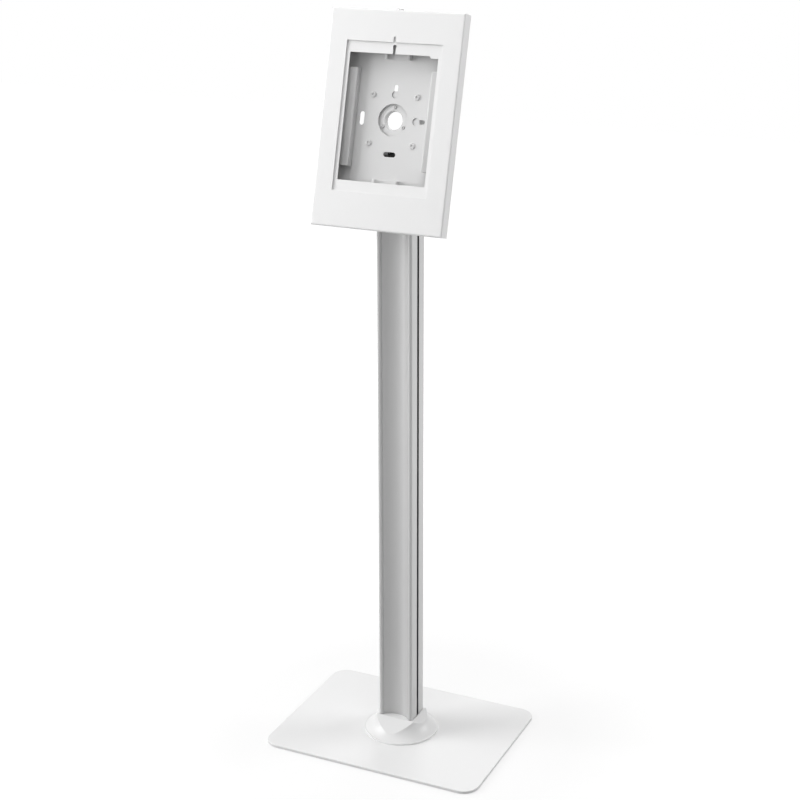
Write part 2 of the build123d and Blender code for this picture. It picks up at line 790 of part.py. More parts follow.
with BuildPart() as bottom_bracket:
    end_bracket(-1, stop_bottom, bracket_bottom_reach)
save(bottom_bracket, "bottom_bracket")

# Rivets through the feet of the bars and brackets
with BuildPart() as nest_rivets:
    for point in rivet_points:
        with BuildSketch(at_depth(tray_back)):
            with Locations(point):
                Circle(rivet_radius)
        extrude(amount=tray_sheet + bar_sheet)
        with BuildSketch(at_depth(floor_front - bar_sheet)):
            with Locations(point):
                Circle(rivet_head_radius)
        extrude(amount=rivet_head_height)
        with BuildSketch(at_depth(tray_back + rivet_tail_height)):
            with Locations(point):
                Circle(rivet_tail_radius)
        extrude(amount=rivet_tail_height)
save(nest_rivets, "nest_rivets")

# Front cover: shallow box with the window, the camera slot, the lock's hole and slots for the tongues
window_height = window_top + window_bottom
window_centre = (window_top - window_bottom) / 2
camera_slot_radius = camera_slot_width / 2
with BuildPart() as front_cover:
    with BuildSketch(at_depth(case_depth)):
        Rectangle(case_width, case_height)
    extrude(amount=case_depth)
    fillet(front_cover.edges().filter_by(depth_axis), case_corner_round)
    fillet(front_cover.faces().sort_by(depth_axis)[0].edges(), case_edge_round)
    with BuildSketch(at_depth(case_depth)):
        Rectangle(case_inner_width, case_inner_height)
    extrude(amount=case_depth - case_sheet, mode=Mode.SUBTRACT)
    with BuildSketch(at_depth(case_sheet)):
        with Locations((0, window_centre)):
            Rectangle(window_width, window_height)
        with Locations((0, window_top + (camera_slot_rise - camera_slot_radius) / 2)):
            Rectangle(camera_slot_width, camera_slot_rise - camera_slot_radius)
        with Locations((0, window_top + camera_slot_rise - camera_slot_radius)):
            Circle(camera_slot_radius)
    extrude(amount=case_sheet, mode=Mode.SUBTRACT)
    with BuildSketch(at_height(case_height / 2 - case_sheet)):
        with Locations((0, lock_depth)):
            Circle(lock_body_radius + lock_hole_clearance)
    extrude(amount=case_sheet, mode=Mode.SUBTRACT)
    with BuildSketch(at_height(-case_height / 2)):
        for x in tongue_points:
            with Locations((x, tongue_front + tongue_sheet / 2)):
                Rectangle(tongue_length + 2 * tongue_end_gap, tongue_sheet + 2 * tongue_face_gap)
    extrude(amount=case_sheet, mode=Mode.SUBTRACT)
save(front_cover, "front_cover")

# Retaining frame: its border lies on the cover's back, its inner part is set back a little
frame_width = case_inner_width - 2 * frame_gap
frame_height = case_inner_height - 2 * frame_gap
frame_inner_width = frame_width - 2 * frame_border
frame_inner_height = frame_height - 2 * frame_border
frame_half = frame_window_width / 2
frame_slot_half = frame_slot_width / 2
stud_points = [
    (sx * (case_width / 2 - stud_inset_x), sy * (case_height / 2 - stud_inset_y))
    for sx in (-1, 1)
    for sy in (-1, 1)
]
with BuildPart() as inner_frame:
    with BuildSketch(at_depth(case_sheet + frame_sheet)):
        Rectangle(frame_width, frame_height)
        Rectangle(frame_inner_width, frame_inner_height, mode=Mode.SUBTRACT)
    extrude(amount=frame_sheet)
    with BuildSketch(at_depth(frame_back)):
        Rectangle(frame_inner_width + 2 * frame_sheet, frame_inner_height + 2 * frame_sheet)
    extrude(amount=frame_sheet)
    with BuildSketch(at_depth(frame_back)):
        with BuildLine():
            Polyline(
                (-frame_half, -frame_window_bottom),
                (frame_half, -frame_window_bottom),
                (frame_half, frame_window_top - frame_step_drop),
                (frame_half - frame_step_width, frame_window_top - frame_step_drop),
                (frame_half - frame_step_width - frame_step_slope, frame_window_top),
                (-frame_half, frame_window_top),
                close=True,
            )
        make_face()
        with Locations((0, frame_window_top + (frame_slot_rise - frame_slot_head) / 2)):
            Rectangle(frame_slot_width, frame_slot_rise - frame_slot_head)
        with Locations((0, frame_window_top + frame_slot_rise - frame_slot_head)):
            Circle(frame_slot_head)
    extrude(amount=frame_sheet, mode=Mode.SUBTRACT)
    with BuildSketch(at_depth(frame_back)):
        with Locations(*stud_points):
            Circle(stud_radius + hole_clearance)
    extrude(amount=frame_back, mode=Mode.SUBTRACT)
save(inner_frame, "inner_frame")

# Studs welded to the cover's back, with the nuts that hold the frame
frame_border_back = case_sheet + frame_sheet
with BuildPart() as frame_studs:
    with BuildSketch(at_depth(case_sheet + stud_length)):
        with Locations(*stud_points):
            Circle(stud_radius)
    extrude(amount=stud_length)
save(frame_studs, "frame_studs")

with BuildPart() as frame_nuts:
    with BuildSketch(at_depth(frame_border_back + stud_nut_height)):
        with Locations(*stud_points):
            hexagon(stud_nut_radius)
        with Locations(*stud_points):
            Circle(stud_radius + thread_clearance, mode=Mode.SUBTRACT)
    extrude(amount=stud_nut_height)
save(frame_nuts, "frame_nuts")


def lock_disc(bottom, radius, length, mode=Mode.ADD):
    """Disc on the lock's axis from the height bottom upwards."""
    with BuildSketch(at_height(bottom)) as disc:
        with Locations((0, lock_depth)):
            Circle(radius)
    extrude(disc.sketch, amount=length, mode=mode)


# Lock: a barrel clamped in the cover's top wall, a plug that turns in it and a cam on the plug's end
case_top = case_height / 2
barrel_bottom = case_top - lock_body_length
with BuildPart() as lock_barrel:
    lock_disc(case_top, lock_head_radius, lock_head_height)
    chamfer(lock_barrel.edges().sort_by(Axis(face_origin, up_dir))[-1], lock_head_chamfer)
    lock_disc(barrel_bottom, lock_body_radius, lock_body_length)
    lock_disc(barrel_bottom, lock_plug_radius + lock_running_clearance, lock_body_length + lock_head_height, Mode.SUBTRACT)
save(lock_barrel, "lock_barrel")

with BuildPart() as lock_nut:
    with BuildSketch(at_height(case_top - case_sheet - lock_nut_height)):
        with Locations((0, lock_depth)):
            hexagon(lock_nut_radius)
        with Locations((0, lock_depth)):
            Circle(lock_body_radius + thread_clearance, mode=Mode.SUBTRACT)
    extrude(amount=lock_nut_height)
save(lock_nut, "lock_nut")

plug_top = case_top + lock_head_height
with BuildPart() as lock_plug:
    lock_disc(cam_top, lock_plug_radius, plug_top - cam_top)
    with BuildSketch(at_height(plug_top - keyway_depth)):
        with Locations((0, lock_depth)):
            Rectangle(keyway_length, keyway_width)
    extrude(amount=keyway_depth, mode=Mode.SUBTRACT)
    lock_disc(cam_top, cam_screw_radius + thread_clearance, cam_screw_length, Mode.SUBTRACT)
save(lock_plug, "lock_plug")

with BuildPart() as lock_cam:
    with BuildSketch(at_height(cam_bottom)):
        with Locations((0, lock_depth)):
            Circle(cam_hub_radius)
        with Locations((0, lock_depth + cam_length / 2)):
            Rectangle(cam_width, cam_length)
        with Locations((0, lock_depth)):
            Circle(cam_screw_radius + thread_clearance, mode=Mode.SUBTRACT)
    extrude(amount=cam_thickness)
save(lock_cam, "lock_cam")

with BuildPart() as cam_screw:
    lock_disc(cam_bottom - cam_screw_head_height, cam_screw_head_radius, cam_screw_head_height)
    lock_disc(cam_bottom, cam_screw_radius, cam_thickness + cam_screw_length)
save(cam_screw, "cam_screw")
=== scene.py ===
import math

import bpy
from mathutils import Matrix, Vector
from mathutils.geometry import tessellate_polygon


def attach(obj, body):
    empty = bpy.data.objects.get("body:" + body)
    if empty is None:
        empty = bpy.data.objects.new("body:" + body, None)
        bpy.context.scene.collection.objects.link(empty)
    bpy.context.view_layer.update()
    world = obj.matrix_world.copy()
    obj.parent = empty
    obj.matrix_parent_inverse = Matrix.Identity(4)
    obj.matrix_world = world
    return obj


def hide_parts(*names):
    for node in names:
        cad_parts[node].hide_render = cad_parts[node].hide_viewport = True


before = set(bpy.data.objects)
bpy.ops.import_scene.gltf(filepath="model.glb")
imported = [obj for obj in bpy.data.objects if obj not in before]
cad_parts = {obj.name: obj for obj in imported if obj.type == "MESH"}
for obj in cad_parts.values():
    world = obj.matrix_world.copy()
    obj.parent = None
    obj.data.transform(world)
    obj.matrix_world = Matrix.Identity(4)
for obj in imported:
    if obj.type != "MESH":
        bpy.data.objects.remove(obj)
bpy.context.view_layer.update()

# Lengths below are millimetres and are turned into metres when a mesh is made.
MM = 0.001

# Stand
PLATE_SIZE = (400.0, 300.0)
PLATE_CORNER = 28.0
PLATE_BOTTOM = 1.0
PLATE_TOP = 6.0
PLATE_EDGE = 0.8
PAD_RADIUS = 10.0
PAD_HEIGHT = 1.0
PAD_EASE = 0.3
PAD_PITCH = (175.0, 250.0)
COLUMN_TOP = 1026.0
COLUMN_SIZE = (63.0, 52.0)
NOSE_RADIUS = 3.95
CHANNEL_DEPTH = 13.2
COLUMN_WALL = 2.0
SLOT_MOUTH = 8.0
SLOT_LIP = 2.4
SLOT_CAVITY = (6.0, 13.0)  # depth, width
SLOT_EASE = (0.5, 0.3)  # at the mouth, in the cavity
SLOT_WALL = 1.8
PORT_POINT = (24.6, 13.3)
PORT_RADIUS = 3.05
CORE_SHOULDER = 7.5
FOOT_RADIUS = 65.6
FOOT_RIM = 3.2
FOOT_HEIGHT = 32.0
FOOT_TOP = 45.2
FOOT_TOE = 63.0
BELL_POWER = 2.6
FACET_SPREAD = 1.244
RIM_ROUND = 0.7
FOOT_COLLAR = (34.6, 27.4)
FOOT_WALL = 2.0
FOOT_GAP = 0.4
NECK_TOP = 1035.0
NECK_SIZE = (62.0, 51.0)
NECK_CORNER = 5.0
NECK_EAR = (11.0, 15.0)  # inner, outer face
EAR_RADIUS = 12.5
BOLT_RADIUS = 4.0
BOLT_BORE = 4.05
BOLT_HEAD = 5.3
BOLT_END = -29.1
THREAD_START = -12.0
THREAD_PITCH = 1.25
NUT_HEIGHT = 6.5
HINGE_HALF = 20.6  # from the head's middle to the bolt's head and to the nut
HEX_APOTHEM = 6.5
HEX_CHAMFER = (0.9, 0.5)  # across, along the axis

# Head: depths are behind the cover's face, heights are up along it
TILT = math.radians(15.0)
PIVOT = Vector((0.0, -1.4, 1049.0))
PIVOT_DEPTH = 60.0
PIVOT_HEIGHT = -31.0
HUB_HEIGHT = 4.0
SHEET = 1.5
CASE_SIZE = (227.0, 340.0)
CASE_DEPTH = 21.0
CASE_EDGE = 3.0
CASE_CORNER = 1.2
WINDOW = (81.2, -112.5, 120.4)  # half width, low edge, high edge
CAMERA_SLOT = (4.0, 129.0)  # width, top
COVER_STRIP = 7.0
FRAME_SIZE = (222.8, 335.8)
FRAME_BORDER = 14.0
FRAME_DROP = 1.0
FRAME_STRIP = 18.0
FRAME_FRONT = 2.5
FRAME_WINDOW = (75.0, -95.6, 102.8)  # half width, low edge, high edge
FRAME_STEP = (12.0, 3.4, 2.6)  # width, drop, slope of the window's corner
FRAME_SLOT = (4.2, 3.0, 117.0)  # width, radius of its head, top
TRAY_SIZE = (221.6, 334.6)
TRAY_FRONT = 5.0
TRAY_FLOOR = 23.8
TRAY_STRIP = 6.0
TRAY_BEND = 2.0
TRAY_HOLE = 25.0
KEYHOLE_RADIUS = 5.7
KEYHOLE_OFFSET = 39.5
KEYHOLE_SLOT = (6.6, 54.8)  # width, end from the hub
LONG_SLOT = (21.0, 7.6)  # length, width
LONG_SLOT_OFFSET = 53.5
REST_DEPTH = 10.5
STOP_DEPTH = 4.6
BAR_INNER = 62.5
BAR_OUTER = 91.2
BAR_FOOT = 76.0
BAR_SPAN = (-72.5, 80.5)
BRACKET_HALF = 21.5
BRACKET_LIP = 4.5
BRACKET_FRONT = 15.0
BRACKET_HORN = 4.0
BRACKET_TOP = (96.5, 132.0)
BRACKET_BOTTOM = (-124.0, -89.5)
BAR_RIVETS = (70.0, 55.0)
END_RIVETS = (13.2, 116.0)
STRIKE_HALF = 55.0
STRIKE_SPAN = (150.95, 166.5)
NOTCH_HALF = 7.8
NOTCH_BACK = 20.88
TONGUE = (60.0, 28.0, 15.5)  # place to each side, width, depth
TONGUE_SPAN = (-170.0, -166.5)
TONGUE_ROOM = (0.5, 0.6)  # at its sides, over and under it
THROUGH_FOOT = (-175.0, -160.0)
ADAPTER_SIZE = 90.0
ADAPTER_BACK = 27.8
ADAPTER_SHEET = 2.5
DISH_RADIUS = 27.5
DISH_MOUTH = 33.0
DISH_FRONT = 29.8
DISH_BACK = 32.3
SWIVEL_BORE = 23.55
YOKE_SHEET = 3.0
YOKE_BACK = 35.8
YOKE_PLATE = (104.0, 66.0)
YOKE_EAR = (16.0, 19.0)  # inner, outer face
HUB_BORE = 14.5
BUSH_RADIUS = 23.5
BUSH_FLANGE = 27.0
BUSH_RIM = 1.5
BUSH_BACK = 37.3
KEEPER_RADIUS = 26.5
KEEPER_FRONT = 27.3
KEEPER_BACK = 29.3
KEEPER_SCREWS = 20.3
SLIDE_GAP = 0.03  # beside the two slide washers
PATTERN = 75.0
LOCK_DEPTH = 12.0
LOCK_HEIGHT = 170.0
LOCK_HOLE = 6.1
LOCK_HEAD = (7.0, 2.5)  # radius, height
LOCK_BODY = (6.0, 14.0)  # radius, length
LOCK_PLUG = 4.5
KEYWAY = (5.6, 1.5, 1.8)  # length, width, depth
CAM_HUB = 5.0
CAM_BORE = 1.55
CAM_HALF = 4.0
CAM_REACH = 11.3
CAM_SPAN = (-16.05, -14.05)

# Finishes: the patterns' scales and how far they sway the tone, as a share of it
BUMP_DEPTH = 0.0002
SPECK_SCALE = 4200.0
PATCH_SCALE = 14.0
COAT_SWAY = 0.015
LINE_SWAY = 0.03

# Studio, in metres and watts, and the camera
FLOOR_REACH = 6.0
FLOOR_SHOWN = 0.3
FLOOR_BOUNCE = 0.45
GLOW_RANGE = (0.3, 1.5)
GLOW_LEVELS = (0.68, 1.0)
WORLD_LIGHT = 0.07
LIGHT_TARGET = Vector((0.0, 0.0, 0.7))
CAMERA_PLACE = Vector((1.1126, -2.3792, 1.5351))
CAMERA_ANGLES = (25.09, 19.16, -0.12)  # azimuth, pitch, roll in degrees
FOCAL_PIXELS = 1672.35
IMAGE_PIXELS = 800
SENSOR = 36.0


# ---------- places

back_dir = Vector((0.0, math.cos(TILT), -math.sin(TILT)))
up_dir = Vector((0.0, math.sin(TILT), math.cos(TILT)))
right_dir = Vector((1.0, 0.0, 0.0))
face_origin = PIVOT - back_dir * PIVOT_DEPTH - up_dir * PIVOT_HEIGHT


def place(origin, x_dir, y_dir, z_dir):
    """Matrix that carries a plane's millimetres to the shared frame."""
    turn = Matrix((x_dir, y_dir, z_dir)).transposed().to_4x4()
    return Matrix.Translation(origin) @ turn


def at_level(z):
    """Level plane: x right, y back, z up."""
    return place(Vector((0, 0, z)), right_dir, Vector((0, 1, 0)), Vector((0, 0, 1)))


def at_depth(depth):
    """Plane of the case's face: x right, y up the face, z towards the front."""
    return place(face_origin + back_dir * depth, right_dir, up_dir, -back_dir)


def at_height(height):
    """Plane across the case: x left to right, y forwards, z up the face."""
    facing = place(face_origin + up_dir * height, -right_dir, -back_dir, up_dir)
    return facing @ Matrix.Rotation(math.pi, 4, "Z")


def beside_pivot(x):
    """Upright plane through the tilt axis: x back, y up, z right."""
    return place(Vector((x, PIVOT.y, PIVOT.z)), Vector((0, 1, 0)), Vector((0, 0, 1)), right_dir)


def beside_head(x):
    """Plane along the head, centred on the tilt axis: x back through the case, y up the face, z right."""
    return place(Vector((x, PIVOT.y, PIVOT.z)), back_dir, up_dir, right_dir)


# ---------- outlines

BESIDE_BEND = 0.4
SHARP = 0.05
SOFT_ANGLE = 50.0
AS_DRAWN = Matrix.Identity(4)


def arc(centre, radius, start, end, steps):
    """Points on an arc, angles in degrees."""
    angles = [math.radians(start + (end - start) * i / steps) for i in range(steps + 1)]
    return [(centre[0] + radius * math.cos(a), centre[1] + radius * math.sin(a)) for a in angles]


def circle(centre, radius, steps=48):
    return arc(centre, radius, 0, 360 * (steps - 1) / steps, steps - 1)


def lifted(loop, z):
    return [(x, y, z) for x, y in loop]


def ring(radius, z, steps):
    """Points round local z at one height."""
    turns = [2 * math.pi * i / steps for i in range(steps)]
    return [(radius * math.cos(a), radius * math.sin(a), z) for a in turns]


def rounded_box(half_x, half_y, corner, steps=8, centre=(0.0, 0.0)):
    """Rectangle with round corners, with a point beside each bend that keeps the flats flat."""
    points = []
    for turn, (sx, sy) in enumerate(((1, 1), (-1, 1), (-1, -1), (1, -1))):
        middle = (centre[0] + sx * (half_x - corner), centre[1] + sy * (half_y - corner))
        bend = arc(middle, corner, 90 * turn, 90 * turn + 90, steps)
        (x0, y0), (x1, y1) = bend[0], bend[-1]
        if turn % 2:
            points += [(x0 - sx * BESIDE_BEND, y0)] + bend + [(x1, y1 - sy * BESIDE_BEND)]
        else:
            points += [(x0, y0 - sy * BESIDE_BEND)] + bend + [(x1 - sx * BESIDE_BEND, y1)]
    return points


def braced(loop, closed=True):
    """The outline with points beside both ends of long sides, so that smooth bends leave them flat."""
    points = []
    for i, here in enumerate(loop):
        points.append(here)
        if i == len(loop) - 1 and not closed:
            break
        a, b = Vector(here), Vector(loop[(i + 1) % len(loop)])
        length = (b - a).length
        if length > 6 * BESIDE_BEND:
            points += [tuple(a.lerp(b, BESIDE_BEND / length)), tuple(b.lerp(a, BESIDE_BEND / length))]
    return points


def stadium(centre, length, width, upright=False, steps=10):
    """Slot with round ends."""
    x, y = centre
    reach = (length - width) / 2
    ends = ((x, y + reach, 0), (x, y - reach, 180)) if upright else ((x + reach, y, -90), (x - reach, y, 90))
    (x0, y0, first), (x1, y1, second) = ends
    one_end = arc((x0, y0), width / 2, first, first + 180, steps)
    return one_end + arc((x1, y1), width / 2, second, second + 180, steps)


def keyhole(centre, radius, slot_width, slot_end, upright):
    """Round hole with a narrower slot that leads up or to the right, to slot_end from the centre."""
    half = slot_width / 2
    meet = math.degrees(math.asin(half / radius))
    outline = arc((0, 0), radius, meet, 360 - meet, 28) + arc((slot_end - half, 0), half, -90, 90, 12)
    if upright:
        outline = [(-y, x) for x, y in outline]
    return [(centre[0] + x, centre[1] + y) for x, y in outline]


def bent_outline(corners, steps=5):
    """Polygon whose corners (x, y, radius) are rounded."""
    points = []
    count = len(corners)
    for i, (x, y, radius) in enumerate(corners):
        here = Vector((x, y))
        before = Vector(corners[i - 1][:2]) - here
        after = Vector(corners[(i + 1) % count][:2]) - here
        angle = before.angle(after)
        cut = radius / math.tan(angle / 2)
        start = here + before.normalized() * cut
        end = here + after.normalized() * cut
        middle = here + (before.normalized() + after.normalized()).normalized() * (radius / math.sin(angle / 2))
        first, last = start - middle, end - middle
        sweep = first.angle_signed(last)
        for step in range(steps + 1):
            turned = Matrix.Rotation(-sweep * step / steps, 2) @ first
            points.append(tuple(middle + turned))
    return points


def mirrored(outline):
    return [(-x, y) for x, y in reversed(outline)]


def signed_area(loop):
    return sum(x0 * y1 - x1 * y0 for (x0, y0), (x1, y1) in zip(loop, loop[1:] + loop[:1])) / 2


def drawn_in(loop, inset):
    """The loop moved to its left, which is into the material for an outer loop and out of a hole."""
    moved = []
    count = len(loop)
    for i, (x, y) in enumerate(loop):
        before = (Vector((x, y)) - Vector(loop[i - 1])).normalized()
        after = (Vector(loop[(i + 1) % count]) - Vector((x, y))).normalized()
        left = Vector((-before.y, before.x)) + Vector((-after.y, after.x))
        left = left.normalized() / max(0.5, left.normalized().dot(Vector((-after.y, after.x))))
        moved.append((x + left.x * inset, y + left.y * inset))
    return moved


# ---------- shapes


class Shape:
    """Points and faces of one piece, gathered from closed shells."""

    def __init__(self):
        self.points = []
        self.faces = []
        self.smooth = []

    def add(self, points, faces, smooth, where):
        base = len(self.points)
        self.points += [where @ Vector(p) for p in points]
        self.faces += [tuple(base + i for i in face) for face in faces]
        self.smooth += smooth
        return self

    def skin(self, rings, where, closed=False, cap_start=False, cap_end=False, flat=False):
        """Faces between rings of equal length, each ring drawn anticlockwise and the rings rising."""
        count = len(rings[0])
        points = [p for loop in rings for p in loop]
        faces, smooth = [], []
        spans = len(rings) if closed else len(rings) - 1
        for k in range(spans):
            low, high = k * count, ((k + 1) % len(rings)) * count
            for i in range(count):
                j = (i + 1) % count
                faces.append((low + i, low + j, high + j, high + i))
                smooth.append(not flat)
        if cap_start:
            faces.append(tuple(reversed(range(count))))
            smooth.append(False)
        if cap_end:
            faces.append(tuple(range(len(points) - count, len(points))))
            smooth.append(False)
        return self.add(points, faces, smooth, where)

    def cut_sheet(self, loops, low, high, where, edge=0.3, outer_edge=None, steps=2):
        """Flat piece with rounded edges: the first loop is its outline and the others are its holes."""
        turns = [math.pi / 2 * i / steps for i in range(steps + 1)]
        lower_rims, upper_rims = [], []
        for number, loop in enumerate(loops):
            if (signed_area(loop) > 0) != (number == 0):
                loop = loop[::-1]
            loop = braced(loop)
            rounding = outer_edge if number == 0 and outer_edge is not None else edge
            stations = [(0.0, low), (0.0, high)]
            if rounding > 0:
                stations = [(rounding * (1 - math.sin(a)), low + rounding * (1 - math.cos(a))) for a in turns]
                stations += [(inset, high + low - z) for inset, z in reversed(stations)]
            rings = [lifted(drawn_in(loop, inset) if inset else loop, z) for inset, z in stations]
            start = len(self.points)
            self.skin(rings, where)
            lower_rims.append([(start + i, Vector(p)) for i, p in enumerate(rings[0])])
            start = len(self.points) - len(loop)
            upper_rims.append([(start + i, Vector(p)) for i, p in enumerate(rings[-1])])
        for rims, upwards in ((lower_rims, False), (upper_rims, True)):
            order = [corner for rim in rims for corner in rim]
            for triangle in tessellate_polygon([[point for _, point in rim] for rim in rims]):
                corners = [order[i] for i in triangle]
                a, b, c = (point for _, point in corners)
                if ((b - a).cross(c - a).z > 0) != upwards:
                    corners.reverse()
                self.faces.append(tuple(i for i, _ in corners))
                self.smooth.append(False)
        return self

    def lathe(self, profile, where, steps):
        """Solid of revolution about local z from a closed (radius, z) profile drawn anticlockwise."""
        return self.skin([ring(radius, z, steps) for radius, z in braced(profile)], where, closed=True)

    def turned(self, profile, where, steps):
        """Solid of revolution from a (radius, z) profile that rises from the bottom face to the top face."""
        rings = [ring(radius, z, steps) for radius, z in braced(profile, closed=False)]
        return self.skin(rings, where, cap_start=True, cap_end=True)

    def mesh(self, name, soft_angle=SOFT_ANGLE):
        """Metre mesh with smooth bends and crisp corners."""
        data = bpy.data.meshes.new(name)
        data.from_pydata([p * MM for p in self.points], [], self.faces)
        return shaded(data, self.smooth, soft_angle)


def shaded(data, smooth, soft_angle):
    """The mesh with its flat faces flat, its bends smooth and its corners crisp."""
    data.update()
    data.set_sharp_from_angle(angle=math.radians(soft_angle))
    data.polygons.foreach_set("use_smooth", smooth)
    return data


def merged(name, meshes, soft_angle=SOFT_ANGLE):
    """One mesh from several, all with the same finish."""
    points, faces, smooth = [], [], []
    for data in meshes:
        base = len(points)
        points += [v.co.copy() for v in data.vertices]
        faces += [tuple(base + i for i in p.vertices) for p in data.polygons]
        smooth += [p.use_smooth for p in data.polygons]
    whole = bpy.data.meshes.new(name)
    whole.from_pydata(points, [], faces)
    return shaded(whole, smooth, soft_angle)


def linked(name, data):
    """New object in the scene."""
    obj = bpy.data.objects.new(name, data)
    bpy.context.scene.collection.objects.link(obj)
    return obj


def applied(obj, helpers):
    """Plain mesh of the object with its modifiers applied; the object and its helpers are removed."""
    bpy.context.view_layer.update()
    data = bpy.data.meshes.new_from_object(obj.evaluated_get(bpy.context.evaluated_depsgraph_get()))
    for used in [obj] + helpers:
        bpy.data.objects.remove(used)
    return data


def carved(data, steps):
    """The mesh after boolean steps, each an operation and a closed mesh."""
    work = linked("work", data)
    tools = []
    for operation, tool_mesh in steps:
        tools.append(linked("cutter", tool_mesh))
        cut = work.modifiers.new("cut", "BOOLEAN")
        cut.operation = operation
        cut.solver = "EXACT"
        cut.object = tools[-1]
    return applied(work, tools)


def cut_away(data, cutters):
    """The mesh with the closed shapes in cutters taken out of it."""
    return carved(data, [("DIFFERENCE", shape.mesh("cutter")) for shape in cutters])


def piece(name, form, body, finish, replaced, soft_angle=SOFT_ANGLE):
    """Sets one piece at the origin, on its body and in place of the CAD nodes named, and gives its mesh."""
    data = form.mesh(name, soft_angle) if isinstance(form, Shape) else form
    obj = linked(name, data)
    data.materials.clear()
    data.materials.append(finish)
    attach(obj, body)
    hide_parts(*replaced)
    return data


# ---------- node trees


def node(tree, kind, links=None, **values):
    """New node with settings; a value named for an input is its constant, links feed inputs."""
    made = tree.nodes.new(kind)
    for label, value in values.items():
        if label in made.bl_rna.properties:
            setattr(made, label, value)
        else:
            made.inputs[label.replace("_", " ")].default_value = value
    for label, source in (links or {}).items():
        tree.links.new(source, made.inputs[label])
    return made


def node_group(name, kind, inputs, outputs):
    """Node group with its input node's sockets; each socket asked for is a name, a type and maybe a default."""
    tree = bpy.data.node_groups.new(name, kind)
    for in_out, sockets in (("INPUT", inputs), ("OUTPUT", outputs)):
        for label, socket_type, *default in sockets:
            socket = tree.interface.new_socket(label, in_out=in_out, socket_type="NodeSocket" + socket_type)
            if default:
                socket.default_value = default[0]
    return tree, node(tree, "NodeGroupInput").outputs


# ---------- repeated fasteners


def fastener_tree(name, pattern, sizes):
    """Geometry Nodes tree that sets copies of a master piece on the points of a grid or a circle.

    Each size is its name, its type and the input of the pattern's node that it feeds.
    """
    inputs = [("Geometry", "Geometry"), ("Master", "Object"), ("Finish", "Material")]
    inputs += [(label, socket_type) for label, socket_type, _ in sizes]
    tree, given = node_group(name, "GeometryNodeTree", inputs, [("Geometry", "Geometry")])
    spots = node(tree, pattern, {feeds: given[label] for label, _, feeds in sizes}).outputs["Mesh"]
    master = node(tree, "GeometryNodeObjectInfo", {"Object": given["Master"]}).outputs["Geometry"]
    copies = node(tree, "GeometryNodeInstanceOnPoints", {"Points": spots, "Instance": master}).outputs[0]
    solid = node(tree, "GeometryNodeRealizeInstances", {"Geometry": copies}).outputs[0]
    coated = node(tree, "GeometryNodeSetMaterial", {"Geometry": solid, "Material": given["Finish"]}).outputs[0]
    node(tree, "NodeGroupOutput", {"Geometry": coated})
    return tree


fastener_grid = fastener_tree(
    "fastener_grid",
    "GeometryNodeMeshGrid",
    [
        ("Columns", "Int", "Vertices X"),
        ("Rows", "Int", "Vertices Y"),
        ("Width", "Float", "Size X"),
        ("Height", "Float", "Size Y"),
    ],
)
fastener_ring = fastener_tree(
    "fastener_ring",
    "GeometryNodeMeshCircle",
    [("Count", "Int", "Vertices"), ("Circle Radius", "Float", "Radius")],
)


def repeated(tree, master, finish, where, **sizes):
    """Plain mesh of the master shape repeated by the tree and carried to its place; floats are lengths."""
    source = linked("master", master.mesh("master"))
    holder = linked("holder", bpy.data.meshes.new("holder"))
    modifier = holder.modifiers.new("pattern", "NODES")
    modifier.node_group = tree
    sockets = {item.name: item.identifier for item in tree.interface.items_tree if item.in_out == "INPUT"}
    modifier[sockets["Master"]] = source
    modifier[sockets["Finish"]] = finish
    for label, value in sizes.items():
        modifier[sockets[label.replace("_", " ")]] = value * MM if isinstance(value, float) else value
    data = applied(holder, [source])
    scaled = where.copy()
    scaled.translation = where.translation * MM
    data.transform(scaled)
    return data


# ---------- finishes


def surface_group(name, own_inputs, roughness, unevenness):
    """Shader group of a surface that isn't quite even, with the values it is given and its coordinates."""
    inputs = [("Color", "Color", (0.8, 0.8, 0.8, 1.0))] + own_inputs
    inputs += [("Roughness", "Float", roughness), ("Unevenness", "Float", unevenness)]
    outputs = [("Color", "Color"), ("Roughness", "Float"), ("Normal", "Vector")]
    tree, given = node_group(name, "ShaderNodeTree", inputs, outputs)
    return tree, given, node(tree, "ShaderNodeTexCoord").outputs["Object"]


def lead_out(tree, given, relief, height, mottle, sway):
    """Leads the relief out as a bump, and lets the tone sway and the roughness wander with the mottle."""
    bump = node(tree, "ShaderNodeBump", {"Height": relief, "Strength": height}, Distance=BUMP_DEPTH)
    spread = node(tree, "ShaderNodeMath", {0: mottle}, operation="SUBTRACT")
    spread.inputs[1].default_value = 0.5
    drift = {0: spread.outputs[0], 1: given["Unevenness"], 2: given["Roughness"]}
    uneven = node(tree, "ShaderNodeMath", drift, operation="MULTIPLY_ADD")
    tint = node(tree, "ShaderNodeMapRange", {"Value": mottle}, To_Min=1 - sway, To_Max=1 + sway)
    shade = node(tree, "ShaderNodeVectorMath", {0: given["Color"], "Scale": tint.outputs[0]}, operation="SCALE")
    ends = {"Color": shade.outputs[0], "Roughness": uneven.outputs[0], "Normal": bump.outputs[0]}
    node(tree, "NodeGroupOutput", ends)


def powder_coat_group():
    """Fine orange peel of a powder coat, with slow patches of gloss and a trace of dust."""
    own_inputs = [("Peel Size", "Float", 900.0), ("Peel Height", "Float", 0.05)]
    tree, given, where = surface_group("powder coat", own_inputs, 0.45, 0.06)
    peel = node(tree, "ShaderNodeTexNoise", {"Vector": where, "Scale": given["Peel Size"]}, Detail=3.0)
    speck = node(tree, "ShaderNodeTexNoise", {"Vector": where}, Scale=SPECK_SCALE, Detail=2.0)
    relief = node(tree, "ShaderNodeMath", {0: peel.outputs["Fac"], 1: speck.outputs["Fac"]}, operation="ADD")
    patches = node(tree, "ShaderNodeTexNoise", {"Vector": where}, Scale=PATCH_SCALE, Detail=4.0)
    lead_out(tree, given, relief.outputs[0], given["Peel Height"], patches.outputs["Fac"], COAT_SWAY)
    return tree


